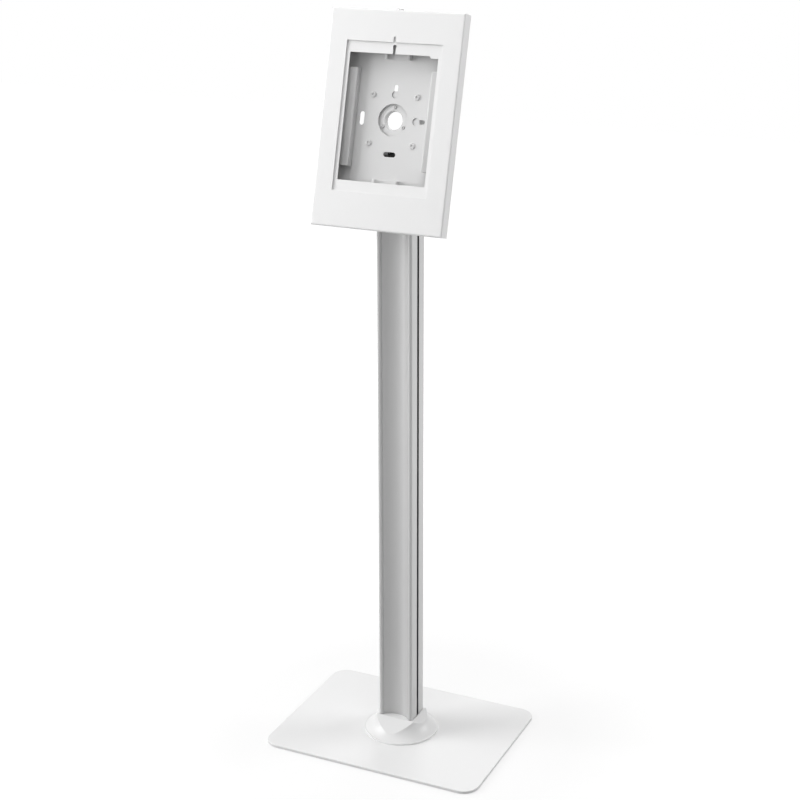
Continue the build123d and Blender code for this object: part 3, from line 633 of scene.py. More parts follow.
def drawn_line_group():
    """Fine lines along one axis, as drawn, extruded or brushed metal has."""
    own_inputs = [("Stretch", "Vector", (1.0, 1.0, 0.01))]
    own_inputs += [("Line Size", "Float", 1800.0), ("Line Height", "Float", 0.05)]
    tree, given, where = surface_group("drawn lines", own_inputs, 0.4, 0.08)
    along = node(tree, "ShaderNodeVectorMath", {0: where, 1: given["Stretch"]}, operation="MULTIPLY")
    stretched = {"Vector": along.outputs[0], "Scale": given["Line Size"]}
    lines = node(tree, "ShaderNodeTexNoise", stretched, Detail=4.0)
    lead_out(tree, given, lines.outputs["Fac"], given["Line Height"], lines.outputs["Fac"], LINE_SWAY)
    return tree


powder_coat = powder_coat_group()
drawn_lines = drawn_line_group()


def grey(tone, warm=0.0):
    return (tone + warm, tone, tone - warm, 1.0)


def finish(name, skin, skin_values, metallic=0.0, coat=0.0, specular=0.5, coat_roughness=0.12):
    """Material whose colour, roughness and normal come from one of the shared groups."""
    material = bpy.data.materials.new(name)
    material.use_nodes = True
    tree = material.node_tree
    shader = tree.nodes["Principled BSDF"]
    shader.inputs["Metallic"].default_value = metallic
    shader.inputs["Coat Weight"].default_value = coat
    shader.inputs["Coat Roughness"].default_value = coat_roughness
    shader.inputs["Specular IOR Level"].default_value = specular
    layer = tree.nodes.new("ShaderNodeGroup")
    layer.node_tree = skin
    for label, value in skin_values.items():
        layer.inputs[label].default_value = value
    for made, fed in (("Color", "Base Color"), ("Roughness", "Roughness"), ("Normal", "Normal")):
        tree.links.new(layer.outputs[made], shader.inputs[fed])
    return material


def coated(name, tone, size, height, roughness, unevenness=0.06, warm=0.0, **gloss):
    """Grey coat, moulding or plating: how fine and how high its peel is, how rough it is and how unevenly."""
    peel = {"Color": grey(tone, warm), "Peel Size": size, "Peel Height": height}
    return finish(name, powder_coat, peel | {"Roughness": roughness, "Unevenness": unevenness}, **gloss)


def drawn(name, tone, stretch, size, height, roughness, unevenness=0.08, **gloss):
    """Grey metal with lines along the axis in which stretch is smallest, and the rest as for coated."""
    lines = {"Color": grey(tone), "Stretch": stretch, "Line Size": size, "Line Height": height}
    return finish(name, drawn_lines, lines | {"Roughness": roughness, "Unevenness": unevenness}, **gloss)


# Material names, then the grey tone and the rest in the order of the two functions above
white_case = coated("white_powder_coat", 0.83, 700.0, 0.10, 0.42)
# A darker copy of the white coat for the pieces in and behind the tray: painted shade, so the inside looks
# darker than the same coat would under the lamps.
white_painted_shade = coated("white_coat_painted_shade", 0.70, 700.0, 0.10, 0.48, specular=0.35)
# Near-black keyhole edges: painted shade for the shaded crescents in the keyholes, not the colour of the cut
# edge.
keyhole_painted_shade = coated("keyhole_rims_painted_shade", 0.12, 1200.0, 0.05, 0.6, specular=0.2)
# A darker grey for the rest bars: painted shade that dims their lit faces, not a coat of their own.
bar_painted_shade = coated("tablet_bars_painted_shade", 0.60, 700.0, 0.10, 0.5, specular=0.3)
white_plate = coated("white_plate_coat", 0.80, 500.0, 0.14, 0.5)
along_column = (1.0, 1.0, 0.004)
column_gloss = {"coat": 0.9, "specular": 0.8, "coat_roughness": 0.16}
white_column = drawn("silvery_white_extrusion", 0.53, along_column, 900.0, 0.05, 0.36, 0.05, **column_gloss)
# Near-black walls for the column's side slots: painted shade, not a finish of the real extrusion.
slot_painted_shade = drawn("column_slots_painted_shade", 0.12, along_column, 900.0, 0.05, 0.6, specular=0.2)
white_moulding = coated("white_moulding", 0.73, 260.0, 0.03, 0.4, 0.05, coat=0.05)
black_coat = coated("black_powder_coat", 0.015, 1100.0, 0.22, 0.6, 0.1, specular=0.2)
black_oxide = coated("black_oxide_steel", 0.03, 2500.0, 0.12, 0.38, 0.15, metallic=0.6)
painted_head = coated("painted_screw_heads", 0.62, 2000.0, 0.08, 0.35)
zinc = drawn("zinc_plated_steel", 0.62, (1.0, 0.3, 0.3), 2200.0, 0.12, 0.32, 0.2, metallic=1.0)
dull_zinc = drawn("dull_zinc_screws", 0.36, (1.0, 1.0, 1.0), 1500.0, 0.1, 0.45, metallic=0.7)
chrome = coated("polished_chrome", 0.42, 3000.0, 0.015, 0.1, metallic=1.0)
lock_face = coated("dark_lock_face", 0.12, 3000.0, 0.03, 0.3, metallic=0.8)
nylon = coated("natural_nylon", 0.62, 1500.0, 0.05, 0.55, warm=0.01)
pad_rubber = coated("grey_pad_rubber", 0.10, 1800.0, 0.3, 0.85, 0.1, specular=0.3)


# ---------- stand

plate_outline = rounded_box(PLATE_SIZE[0] / 2, PLATE_SIZE[1] / 2, PLATE_CORNER, 14)
plate = Shape().cut_sheet([plate_outline], PLATE_BOTTOM, PLATE_TOP, at_level(0), edge=PLATE_EDGE, steps=4)
piece("plate", plate, "stand", white_plate, ["base_plate"])

pad_profile = [(PAD_RADIUS - PAD_EASE, 0), (PAD_RADIUS, PAD_EASE), (PAD_RADIUS, PAD_HEIGHT)]
pad = Shape().turned(pad_profile, at_level(0), steps=36)
under_plate = {"Columns": 3, "Rows": 2, "Width": 2 * PAD_PITCH[0], "Height": PAD_PITCH[1]}
pads = repeated(fastener_grid, pad, pad_rubber, at_level(0), **under_plate)
piece("plate_pads", pads, "stand", pad_rubber, ["base_pads"])

# The hollow along the column's front and back is an arc between its two noses.
channel_half = COLUMN_SIZE[0] / 2 - 2 * NOSE_RADIUS
channel_rise = CHANNEL_DEPTH - NOSE_RADIUS
channel_radius = (channel_half**2 + channel_rise**2) / (2 * channel_rise)
channel_centre = COLUMN_SIZE[1] / 2 - CHANNEL_DEPTH + channel_radius


def column_outline(gap=0.0):
    """Outline of the extrusion without its side slots, anticlockwise from the right side, drawn out by gap."""
    middle_x, middle_y = COLUMN_SIZE[0] / 2 - NOSE_RADIUS, COLUMN_SIZE[1] / 2 - NOSE_RADIUS
    spread = math.degrees(math.asin(channel_half / channel_radius))
    top = arc((middle_x, middle_y), NOSE_RADIUS + gap, 0, 180, 12)
    top += arc((0, channel_centre), channel_radius - gap, -90 + spread, -90 - spread, 24)[1:-1]
    top += arc((-middle_x, middle_y), NOSE_RADIUS + gap, 0, 180, 12)
    return top + [(-x, -y) for x, y in top]


def slotted_outline():
    """The extrusion's outline with a slot cut into each side."""
    half_x, mouth, width = COLUMN_SIZE[0] / 2, SLOT_MOUTH / 2, SLOT_CAVITY[1] / 2
    mouth_ease, cavity_ease = SLOT_EASE
    inwards = [
        (half_x, mouth, mouth_ease),
        (half_x - SLOT_LIP, mouth, cavity_ease),
        (half_x - SLOT_LIP, width, cavity_ease),
        (half_x - SLOT_LIP - SLOT_CAVITY[0], width, cavity_ease),
    ]
    right_slot = bent_outline([(x, -y, ease) for x, y, ease in inwards] + inwards[::-1])
    right_slot = [(x, y) for x, y in right_slot if x <= half_x + 0.01]
    left_slot = [(-x, -y) for x, y in right_slot]
    whole = column_outline()
    half = len(whole) // 2
    return whole[:half] + left_slot + whole[half:] + right_slot


def column_core():
    """The middle hollow of the extrusion."""
    block = COLUMN_SIZE[0] / 2 - SLOT_LIP - SLOT_CAVITY[0] - SLOT_WALL
    wall = channel_radius + COLUMN_WALL
    side = PORT_POINT[0] - PORT_RADIUS - 2 * COLUMN_WALL
    spread = math.degrees(math.asin(side / wall))
    top = [(block, 0), (block, CORE_SHOULDER), (side, CORE_SHOULDER)]
    top += arc((0, channel_centre), wall, -90 + spread, -90 - spread, 20)
    top += [(-side, CORE_SHOULDER), (-block, CORE_SHOULDER)]
    return top + [(-x, -y) for x, y in top]


ports = [circle((sx * PORT_POINT[0], sy * PORT_POINT[1]), PORT_RADIUS, 24) for sx in (-1, 1) for sy in (-1, 1)]
post = Shape().cut_sheet([slotted_outline(), column_core()] + ports, PLATE_TOP, COLUMN_TOP, at_level(0), edge=0)
post_mesh = piece("post", post, "stand", white_column, ["column"])
# The walls of the side slots have the second finish: near-black, painted shade for the shade deep inside the
# slots.
post_mesh.materials.append(slot_painted_shade)
for face in post_mesh.polygons:
    depth = COLUMN_SIZE[0] / 2 - abs(face.center.x / MM)
    in_cavity = 0.3 < depth < SLOT_LIP + SLOT_CAVITY[0] + 0.1
    if in_cavity and abs(face.center.y / MM) < SLOT_CAVITY[1] / 2 + 0.1 and abs(face.normal.z) < 0.5:
        face.material_index = 1


def bell_solid(inset, steps):
    """The foot cover's outside, or its inside drawn in by the wall: a bell cut flat on four sides."""
    reach = FOOT_TOE - FOOT_TOP
    height = FOOT_HEIGHT - FOOT_RIM
    top = PLATE_TOP + FOOT_HEIGHT
    radius, rim = FOOT_RADIUS - inset, PLATE_TOP + FOOT_RIM - inset
    profile = [(radius, PLATE_TOP)] + arc((radius - RIM_ROUND, rim - RIM_ROUND), RIM_ROUND, 0, 90, 4)
    for step in range(steps + 1):
        share = 1 - step / steps
        slope = math.atan(reach * BELL_POWER * share ** (BELL_POWER - 1) / height)
        out, z = FOOT_TOP + reach * share**BELL_POWER, top - height * share
        profile.append((out - inset * math.cos(slope), z - inset * math.sin(slope)))
    bell = Shape().turned(profile, at_level(0), steps=144)
    lean = inset / math.cos(math.atan(FACET_SPREAD))
    levels = []
    for z in (PLATE_TOP - 1, top - inset):
        outward = FACET_SPREAD * (top - z) - lean
        half_x, half_y = FOOT_COLLAR[0] + outward, FOOT_COLLAR[1] + outward
        levels.append([(sx * half_x, sy * half_y, z) for sx, sy in ((1, 1), (-1, 1), (-1, -1), (1, -1))])
    facets = Shape().skin(levels, at_level(0), cap_start=True, cap_end=True, flat=True)
    return carved(bell.mesh("bell", soft_angle=30), [("INTERSECT", facets.mesh("facets"))])


around_column = column_outline(FOOT_GAP)
opening = Shape().cut_sheet([around_column], PLATE_TOP - 1, PLATE_TOP + FOOT_HEIGHT + 1, at_level(0), edge=0)
foot_shell = carved(
    bell_solid(0.0, 28), [("DIFFERENCE", bell_solid(FOOT_WALL, 12)), ("DIFFERENCE", opening.mesh("opening"))]
)
foot_moulding = merged("foot_moulding", [foot_shell], soft_angle=24)
piece("foot_moulding", foot_moulding, "stand", white_moulding, ["foot_cover"])

neck_outline = rounded_box(NECK_SIZE[0] / 2, NECK_SIZE[1] / 2, NECK_CORNER, 8)
neck = Shape().cut_sheet([neck_outline], COLUMN_TOP, NECK_TOP, at_level(0), edge=1.0, steps=3)
ear_foot = NECK_TOP - PIVOT.z
ear_outline = [(-EAR_RADIUS, ear_foot), (EAR_RADIUS, ear_foot)] + arc((0, 0), EAR_RADIUS, 0, 180, 24)
ear_bore = circle((0, 0), BOLT_BORE, 28)
near, far = NECK_EAR
for low, high in ((-far, -near), (near, far)):
    neck.cut_sheet([ear_outline, ear_bore], low, high, beside_pivot(0), edge=0.5)
piece("neck_block", neck, "stand", black_coat, ["neck_bracket"])


def hexagon(apothem, steps=4):
    """Hexagon outline with each side divided, so that it can be skinned to a circle."""
    corners = [Vector(p) for p in circle((0, 0), apothem / math.cos(math.pi / 6), 6)]
    sides = zip(corners, corners[1:] + corners[:1])
    return [tuple(a.lerp(b, i / steps)) for a, b in sides for i in range(steps)]


def chamfered_hexagon(low, high):
    """Rings up the tilt bolt's head or nut, with the corners chamfered at both faces."""
    cut, height = HEX_CHAMFER
    rings = []
    for z, inset in ((low, cut), (low + height, 0.0), (high - height, 0.0), (high, cut)):
        limit = HEX_APOTHEM / math.cos(math.pi / 6) - inset
        shares = [(x, y, min(1.0, limit / math.hypot(x, y))) for x, y in hexagon(HEX_APOTHEM)]
        rings.append([(x * share, y * share, z) for x, y, share in shares])
    return rings


bolt_axis = beside_pivot(0)
bolt_head = chamfered_hexagon(HINGE_HALF, HINGE_HALF + BOLT_HEAD)
bolt = Shape().skin(bolt_head, bolt_axis, cap_start=True, cap_end=True)
shank_profile = [(BOLT_RADIUS - 0.1, THREAD_START), (BOLT_RADIUS, THREAD_START + 0.2)]
bolt.turned(shank_profile + [(BOLT_RADIUS, HINGE_HALF + 0.2)], bolt_axis, steps=32)
z = BOLT_END + THREAD_PITCH * 0.6
thread_profile = [(BOLT_RADIUS * 0.86, BOLT_END), (BOLT_RADIUS, z)]
while z + THREAD_PITCH < THREAD_START:
    thread_profile += [(BOLT_RADIUS, z + THREAD_PITCH * 0.2), (BOLT_RADIUS * 0.88, z + THREAD_PITCH * 0.6)]
    z += THREAD_PITCH
    thread_profile.append((BOLT_RADIUS, z))
bolt.turned(thread_profile + [(BOLT_RADIUS, THREAD_START)], bolt_axis, steps=32)
piece("pivot_bolt", bolt, "stand", black_oxide, ["tilt_bolt"])

nut_low, nut_high = -HINGE_HALF - NUT_HEIGHT, -HINGE_HALF
nut_rings = chamfered_hexagon(nut_low, nut_high) + [ring(BOLT_BORE, nut_high, 24), ring(BOLT_BORE, nut_low, 24)]
nut = Shape().skin(nut_rings, bolt_axis, closed=True)
piece("pivot_nut", nut, "stand", black_oxide, ["tilt_nut"], soft_angle=35)


# ---------- yoke

yoke_half, strap_half = YOKE_PLATE[0] / 2, YOKE_EAR[1]
yoke_low, yoke_high = HUB_HEIGHT - YOKE_PLATE[1] / 2, HUB_HEIGHT + YOKE_PLATE[1] / 2
yoke_left = [(-yoke_half, yoke_high, 8), (-yoke_half, yoke_low, 8)]
yoke_left += [(-strap_half, yoke_low, 4), (-strap_half, PIVOT_HEIGHT - EAR_RADIUS, 1.5)]
yoke_outline = bent_outline(yoke_left + [(-x, y, bend) for x, y, bend in reversed(yoke_left)])
yoke = Shape().cut_sheet(
    [yoke_outline, circle((0, HUB_HEIGHT), BUSH_RADIUS, 64)], 0, YOKE_SHEET, at_depth(YOKE_BACK), edge=0.5
)
ear_reach = YOKE_BACK - PIVOT_DEPTH
yoke_ear = [(ear_reach, -EAR_RADIUS), (0, -EAR_RADIUS)] + arc((0, 0), EAR_RADIUS, -90, 90, 24)[1:]
yoke_ear.append((ear_reach, EAR_RADIUS))
near, far = YOKE_EAR
for low, high in ((-far, -near), (near, far)):
    yoke.cut_sheet([yoke_ear, ear_bore], low, high, beside_head(0), edge=0.5)
piece("yoke_plate", yoke, "yoke", white_case, ["tilt_yoke"])


def at_hub(depth):
    """Plane across the swivel axis, centred on it."""
    return at_depth(depth) @ Matrix.Translation((0, HUB_HEIGHT, 0))


bush_length = BUSH_BACK - KEEPER_BACK
bush_profile = [(HUB_BORE, 0.4), (HUB_BORE + 0.4, 0), (BUSH_FLANGE - 0.4, 0), (BUSH_FLANGE, 0.4)]
bush_profile += [(BUSH_FLANGE, BUSH_RIM - 0.3), (BUSH_FLANGE - 0.3, BUSH_RIM), (BUSH_RADIUS, BUSH_RIM)]
bush_profile += [(BUSH_RADIUS, bush_length), (HUB_BORE, bush_length)]
bush = Shape().lathe(bush_profile, at_hub(BUSH_BACK), steps=72)
piece("hub_bush", bush, "yoke", dull_zinc, ["swivel_bush"])

keeper_top = KEEPER_BACK - KEEPER_FRONT
keeper_profile = [(HUB_BORE, SLIDE_GAP), (KEEPER_RADIUS, SLIDE_GAP), (KEEPER_RADIUS, keeper_top - 0.5)]
keeper_profile += [(KEEPER_RADIUS - 0.2, keeper_top - 0.15), (KEEPER_RADIUS - 0.5, keeper_top)]
keeper_profile += [(HUB_BORE + 1.0, keeper_top), (HUB_BORE, keeper_top - 1.0)]
keeper = Shape().lathe(keeper_profile, at_hub(KEEPER_BACK), steps=72)
piece("hub_keeper_ring", keeper, "yoke", white_painted_shade, ["swivel_keeper"], soft_angle=35)


def socket_screw(radius, height, socket, dome, steps=24):
    """Low round head with a hexagon socket, its underside at z 0."""
    rings = [ring(radius, 0, steps), ring(radius, height - dome, steps)]
    for i in range(1, 5):
        a = math.pi / 2 * i / 4
        rings.append(ring(radius - dome * (1 - math.cos(a)), height - dome + dome * math.sin(a), steps))
    rings += [lifted(hexagon(socket), height - 0.05), lifted(hexagon(socket * 0.97), height * 0.4)]
    return Shape().skin(rings, AS_DRAWN, cap_start=True, cap_end=True)


ring_screw = socket_screw(radius=2.75, height=1.5, socket=1.15, dome=0.6)
on_keeper = at_hub(KEEPER_FRONT) @ Matrix.Rotation(math.pi / 2, 4, "Z")
ring_screws = repeated(fastener_ring, ring_screw, dull_zinc, on_keeper, Count=3, Circle_Radius=KEEPER_SCREWS)
piece("hub_ring_screws", ring_screws, "yoke", dull_zinc, ["keeper_screws"])


# ---------- head

adapter_outline = rounded_box(ADAPTER_SIZE / 2, ADAPTER_SIZE / 2, 6, 8, (0, HUB_HEIGHT))
adapter = Shape().cut_sheet(
    [adapter_outline, circle((0, HUB_HEIGHT), DISH_MOUTH, 72)],
    0,
    ADAPTER_SHEET,
    at_depth(ADAPTER_BACK),
    edge=0,
    outer_edge=0.4,
)
flat = DISH_BACK - ADAPTER_BACK
front = DISH_BACK - (ADAPTER_BACK - ADAPTER_SHEET)
floor = DISH_BACK - DISH_FRONT
wall, outer_bend, inner_bend = DISH_RADIUS + ADAPTER_SHEET, 1.5, 2.6
dish = [(SWIVEL_BORE, SLIDE_GAP), (wall - outer_bend, SLIDE_GAP)]
dish += arc((wall - outer_bend, outer_bend + SLIDE_GAP), outer_bend, -90, 0, 4)
dish += [(wall, flat - 1.0)] + arc((wall + 1.0, flat - 1.0), 1.0, 180, 90, 4)
dish += [(DISH_MOUTH, flat), (DISH_MOUTH, front), (DISH_RADIUS + inner_bend, front)]
dish += arc((DISH_RADIUS + inner_bend, front - inner_bend), inner_bend, 90, 180, 5)[1:]
dish += [(DISH_RADIUS, floor + 0.6), (DISH_RADIUS - 0.6, floor), (SWIVEL_BORE, floor)]
adapter.lathe(dish, at_hub(DISH_BACK), steps=72)
piece("adapter_square", adapter, "head", white_painted_shade, ["adapter_plate"], soft_angle=40)

pan_head = socket_screw(radius=4.75, height=1.9, socket=1.9, dome=1.2)
pan_shank = Shape().turned([(1.7, -6.5), (2.0, -6.1), (2.0, 0.0)], AS_DRAWN, steps=20)
in_square = {"Columns": 2, "Rows": 2, "Width": PATTERN, "Height": PATTERN}
screw_parts = []
for part in (pan_head, pan_shank):
    screw_parts.append(repeated(fastener_grid, part, painted_head, at_hub(TRAY_FLOOR), **in_square))
pattern_screws = merged("pattern_screws", screw_parts)
piece("pattern_screws", pattern_screws, "head", painted_head, ["adapter_screws"])


def box_ring(size, corner, profile, where):
    """Wall that runs round a rectangle: the profile gives (inset, z) all the way round its section."""
    rings = []
    for inset, z in braced(profile):
        loop = rounded_box(size[0] / 2 - inset, size[1] / 2 - inset, max(SHARP, corner - inset), 5)
        rings.append(lifted(loop, z))
    return Shape().skin(rings, where, closed=True)


def box_cutter(x, y, z, where):
    """Rectangular cutter from its low and high limits."""
    loop = [(x[0], y[0]), (x[1], y[0]), (x[1], y[1]), (x[0], y[1])]
    return Shape().cut_sheet([loop], z[0], z[1], where, edge=0)


# The tray's section goes up the outside, over the lip, down the inside and in along the floor.
tray_back = at_depth(TRAY_FLOOR + SHEET)
tray_depth = TRAY_FLOOR + SHEET - TRAY_FRONT
tray_profile = [(TRAY_STRIP, 0)] + arc((TRAY_BEND, TRAY_BEND), TRAY_BEND, -90, -180, 6)
tray_profile += [(0, tray_depth - 0.4), (0.15, tray_depth - 0.1), (0.4, tray_depth)]
tray_profile += [(SHEET - 0.4, tray_depth), (SHEET - 0.15, tray_depth - 0.1), (SHEET, tray_depth - 0.4)]
tray_profile += [(SHEET, TRAY_BEND), (SHEET + 0.15, SHEET + 0.15), (TRAY_BEND, SHEET), (TRAY_STRIP, SHEET)]
tray_walls = box_ring(TRAY_SIZE, 1.5, tray_profile, tray_back)
tray_top = TRAY_SIZE[1] / 2
notch = box_cutter((-NOTCH_HALF, NOTCH_HALF), (tray_top - 5, tray_top + 5), (-NOTCH_BACK, 0), at_depth(0))
tray_walls = cut_away(tray_walls.mesh("tray_walls"), [notch])
keyhole_slot = (KEYHOLE_RADIUS, KEYHOLE_SLOT[0], KEYHOLE_SLOT[1] - KEYHOLE_OFFSET)
tray_rest = Shape().cut_sheet(
    [
        rounded_box(TRAY_SIZE[0] / 2 - TRAY_STRIP, TRAY_SIZE[1] / 2 - TRAY_STRIP, SHARP, 5),
        circle((0, HUB_HEIGHT), TRAY_HOLE, 72),
        keyhole((0, HUB_HEIGHT + KEYHOLE_OFFSET), *keyhole_slot, upright=True),
        keyhole((KEYHOLE_OFFSET, HUB_HEIGHT), *keyhole_slot, upright=False),
        stadium((-LONG_SLOT_OFFSET, HUB_HEIGHT), LONG_SLOT[0], LONG_SLOT[1], upright=True),
        stadium((0, HUB_HEIGHT - LONG_SLOT_OFFSET), LONG_SLOT[0], LONG_SLOT[1]),
    ],
    0,
    SHEET,
    tray_back,
    edge=0.2,
    outer_edge=0,
)
strike_low, strike_high = STRIKE_SPAN
for side in (-1, 1):
    inner, outer = side * NOTCH_HALF, side * STRIKE_HALF
    corners = [(inner, strike_low, 1.0), (outer, strike_low, 3.0)]
    corners += [(outer, strike_high, 0.3), (inner, strike_high, 0.3)]
    tray_rest.cut_sheet([bent_outline(corners[::-side])], 0, SHEET, at_depth(TRAY_FRONT + SHEET), edge=0.3)
tongue_low, tongue_high = TONGUE_SPAN
for x in (-TONGUE[0], TONGUE[0]):
    left, right = x - TONGUE[1] / 2, x + TONGUE[1] / 2
    corners = [(left, tongue_low, 1.0), (right, tongue_low, 1.0)]
    corners += [(right, tongue_high, 0.2), (left, tongue_high, 0.2)]
    tray_rest.cut_sheet([bent_outline(corners)], 0, SHEET, at_depth(TONGUE[2] + SHEET), edge=0.3)
tray = merged("tray_pan", [tray_walls, tray_rest.mesh("tray_rest")])
piece("tray_pan", tray, "head", white_painted_shade, ["rear_tray"])
# The cut edges of the keyholes have the second finish: near-black, painted shade for the dark crescents of
# shade at the keyholes.
tray.materials.append(keyhole_painted_shade)
tray_plane = at_hub(TRAY_FLOOR)
to_plane = tray_plane.inverted()
across = tray_plane.to_3x3().col[2].normalized()
for face in tray.polygons:
    spot = to_plane @ (face.center / MM)
    reach = min(math.hypot(spot.x, spot.y - KEYHOLE_OFFSET), math.hypot(spot.x - KEYHOLE_OFFSET, spot.y))
    if reach < KEYHOLE_RADIUS + 0.1 and abs(spot.z) < 3 and abs(face.normal.dot(across)) < 0.3:
        face.material_index = 1

# The right bar's bent section is foot, web, face and stop lip; the left bar's is its mirror.
foot_front, rest_back = TRAY_FLOOR - SHEET, REST_DEPTH + SHEET
bar_corners = [(BAR_FOOT, TRAY_FLOOR, 0.3), (BAR_FOOT, foot_front, 0.3), (BAR_INNER + SHEET, foot_front, 0.5)]
bar_corners += [(BAR_INNER + SHEET, rest_back, 0.5), (BAR_OUTER, rest_back, 2.0), (BAR_OUTER, STOP_DEPTH, 0.3)]
bar_corners += [(BAR_OUTER - SHEET, STOP_DEPTH, 0.3), (BAR_OUTER - SHEET, REST_DEPTH, 0.5)]
bar_corners += [(BAR_INNER, REST_DEPTH, 2.0), (BAR_INNER, TRAY_FLOOR, 2.0)]
bar_section = bent_outline(bar_corners)
for name, node_name, section in (
    ("rest_bar_left", "left_bar", mirrored(bar_section)),
    ("rest_bar_right", "right_bar", bar_section),
):
    bar = Shape().cut_sheet([section], BAR_SPAN[0], BAR_SPAN[1], at_height(0), edge=0.25)
    piece(name, bar, "head", bar_painted_shade, [node_name])

# The end brackets are lipped channels that open to the front, each bent from one strip with two horns.
bracket_inner, bracket_lip = BRACKET_HALF - SHEET, BRACKET_HALF - BRACKET_LIP
bracket_right = [(bracket_inner, foot_front, 0.5), (bracket_inner, BRACKET_FRONT + SHEET, 0.5)]
bracket_right += [(bracket_lip, BRACKET_FRONT + SHEET, 0.3), (bracket_lip, BRACKET_FRONT, 0.3)]
bracket_right += [(BRACKET_HALF, BRACKET_FRONT, 1.8), (BRACKET_HALF, TRAY_FLOOR, 1.8)]
bracket_section = bent_outline(bracket_right + [(-x, y, radius) for x, y, radius in reversed(bracket_right)])
horn_foot = BRACKET_FRONT + 0.8
for name, node_name, (low, high), horn_low in (
    ("rest_bracket_top", "top_bracket", BRACKET_TOP, BRACKET_TOP[1] - BRACKET_HORN),
    ("rest_bracket_bottom", "bottom_bracket", BRACKET_BOTTOM, BRACKET_BOTTOM[0]),
):
    bracket = Shape().cut_sheet([bracket_section], low, high, at_height(0), edge=0.25)
    for left, right in ((-BRACKET_HALF, -bracket_inner), (bracket_inner, BRACKET_HALF)):
        horn = [(left, STOP_DEPTH), (right, STOP_DEPTH), (right, horn_foot), (left, horn_foot)]
        bracket.cut_sheet([horn], horn_low, horn_low + BRACKET_HORN, at_height(0), edge=0.2)
    piece(name, bracket, "head", white_painted_shade, [node_name])

rivet = Shape().turned([(3.2, 0.0), (3.15, 0.35), (2.6, 0.75), (1.6, 0.96), (0.6, 1.0)], AS_DRAWN, steps=28)
rivet.turned([(0.8, -3.8), (2.2, -3.7), (2.6, -3.3), (2.6, -3.0)], AS_DRAWN, steps=28)
on_feet = at_hub(TRAY_FLOOR - SHEET)
rivets = []
for x in (-BAR_RIVETS[0], BAR_RIVETS[0]):
    rivet_spots = {"Columns": 1, "Rows": 3, "Width": 0.0, "Height": 2 * BAR_RIVETS[1]}
    beside = on_feet @ Matrix.Translation((x, 0, 0))
    rivets.append(repeated(fastener_grid, rivet, painted_head, beside, **rivet_spots))
rivet_spots = {"Columns": 2, "Rows": 2, "Width": 2 * END_RIVETS[0], "Height": 2 * END_RIVETS[1]}
rivets.append(repeated(fastener_grid, rivet, painted_head, on_feet, **rivet_spots))
piece("rest_rivets", merged("rest_rivets", rivets), "head", painted_head, ["nest_rivets"])


# ---------- cover

face_back = CASE_DEPTH - SHEET
cover_profile = [(0, 0.0), (0, 0.3)] + arc((CASE_EDGE, CASE_DEPTH - CASE_EDGE), CASE_EDGE, 180, 90, 8)
cover_profile += [(COVER_STRIP, CASE_DEPTH), (COVER_STRIP, face_back), (CASE_EDGE, face_back)]
cover_profile += [(SHEET + 0.4, face_back - 0.4), (SHEET, CASE_DEPTH - CASE_EDGE)]
cover_profile += [(SHEET, 0.3), (SHEET - 0.3, 0.0)]
cover_walls = box_ring(CASE_SIZE, CASE_CORNER, cover_profile[::-1], at_depth(CASE_DEPTH))
at_lock = at_height(LOCK_HEIGHT) @ Matrix.Translation((0, LOCK_DEPTH, 0))
through_top = (LOCK_HEIGHT - 10.0, LOCK_HEIGHT + 10.0)
lock_line = at_height(0) @ Matrix.Translation((0, LOCK_DEPTH, 0))
cutters = [Shape().turned([(LOCK_HOLE, z) for z in through_top], lock_line, steps=48)]
beside, around = TONGUE_ROOM
for x in (-TONGUE[0], TONGUE[0]):
    half = TONGUE[1] / 2 + beside
    slot_span = (-TONGUE[2] - SHEET - around, -TONGUE[2] + around)
    cutters.append(box_cutter((x - half, x + half), THROUGH_FOOT, slot_span, at_depth(0)))
cover_walls = cut_away(cover_walls.mesh("cover_walls"), cutters)
half, low, high = WINDOW
slot_half = CAMERA_SLOT[0] / 2
window_loop = bent_outline([(-half, high, 0.4), (-half, low, 0.4), (half, low, 0.4), (half, high, 0.4)], 2)
window_loop += [(slot_half, high)] + arc((0, CAMERA_SLOT[1] - slot_half), slot_half, 0, 180, 12)
window_loop.append((-slot_half, high))
face_outline = rounded_box(CASE_SIZE[0] / 2 - COVER_STRIP, CASE_SIZE[1] / 2 - COVER_STRIP, SHARP, 5)
cover_face = Shape().cut_sheet([face_outline, window_loop], 0, SHEET, at_depth(SHEET), edge=0.35, outer_edge=0)
cover = merged("case_cover", [cover_walls, cover_face.mesh("cover_face")])
piece("case_cover", cover, "cover", white_case, ["front_cover"])

step_low = FRAME_BORDER - 1.2
frame_profile = [(0, 0.2), (0.2, 0), (step_low - 1.4, 0), (step_low - 0.2, -FRAME_DROP)]
frame_profile += [(FRAME_STRIP, -FRAME_DROP), (FRAME_STRIP, SHEET - FRAME_DROP)]
frame_profile += [(step_low + 1.4, SHEET - FRAME_DROP), (step_low + 0.2, SHEET)]
frame_profile += [(0.2, SHEET), (0, SHEET - 0.2)]
holding_frame = box_ring(FRAME_SIZE, 1.0, frame_profile, at_depth(2 * SHEET))
half, low, high = FRAME_WINDOW
step_width, step_drop, step_slope = FRAME_STEP
slot_width, slot_head, slot_top = FRAME_SLOT
meet = math.degrees(math.acos(slot_width / 2 / slot_head))
corners = [(-half, high, 0.4), (-half, low, 0.4), (half, low, 0.4), (half, high - step_drop, 0.4)]
frame_window = bent_outline(corners, 2)
frame_window += [(half - step_width, high - step_drop), (half - step_width - step_slope, high)]
frame_window += [(slot_width / 2, high)] + arc((0, slot_top - slot_head), slot_head, -meet, 180 + meet, 24)
frame_window.append((-slot_width / 2, high))
frame_outline = rounded_box(FRAME_SIZE[0] / 2 - FRAME_STRIP, FRAME_SIZE[1] / 2 - FRAME_STRIP, SHARP, 5)
frame_loops = [frame_outline, frame_window]
holding_frame.cut_sheet(frame_loops, 0, SHEET, at_depth(FRAME_FRONT + SHEET), edge=0.25, outer_edge=0)
piece("holding_frame", holding_frame, "cover", white_case, ["inner_frame"])

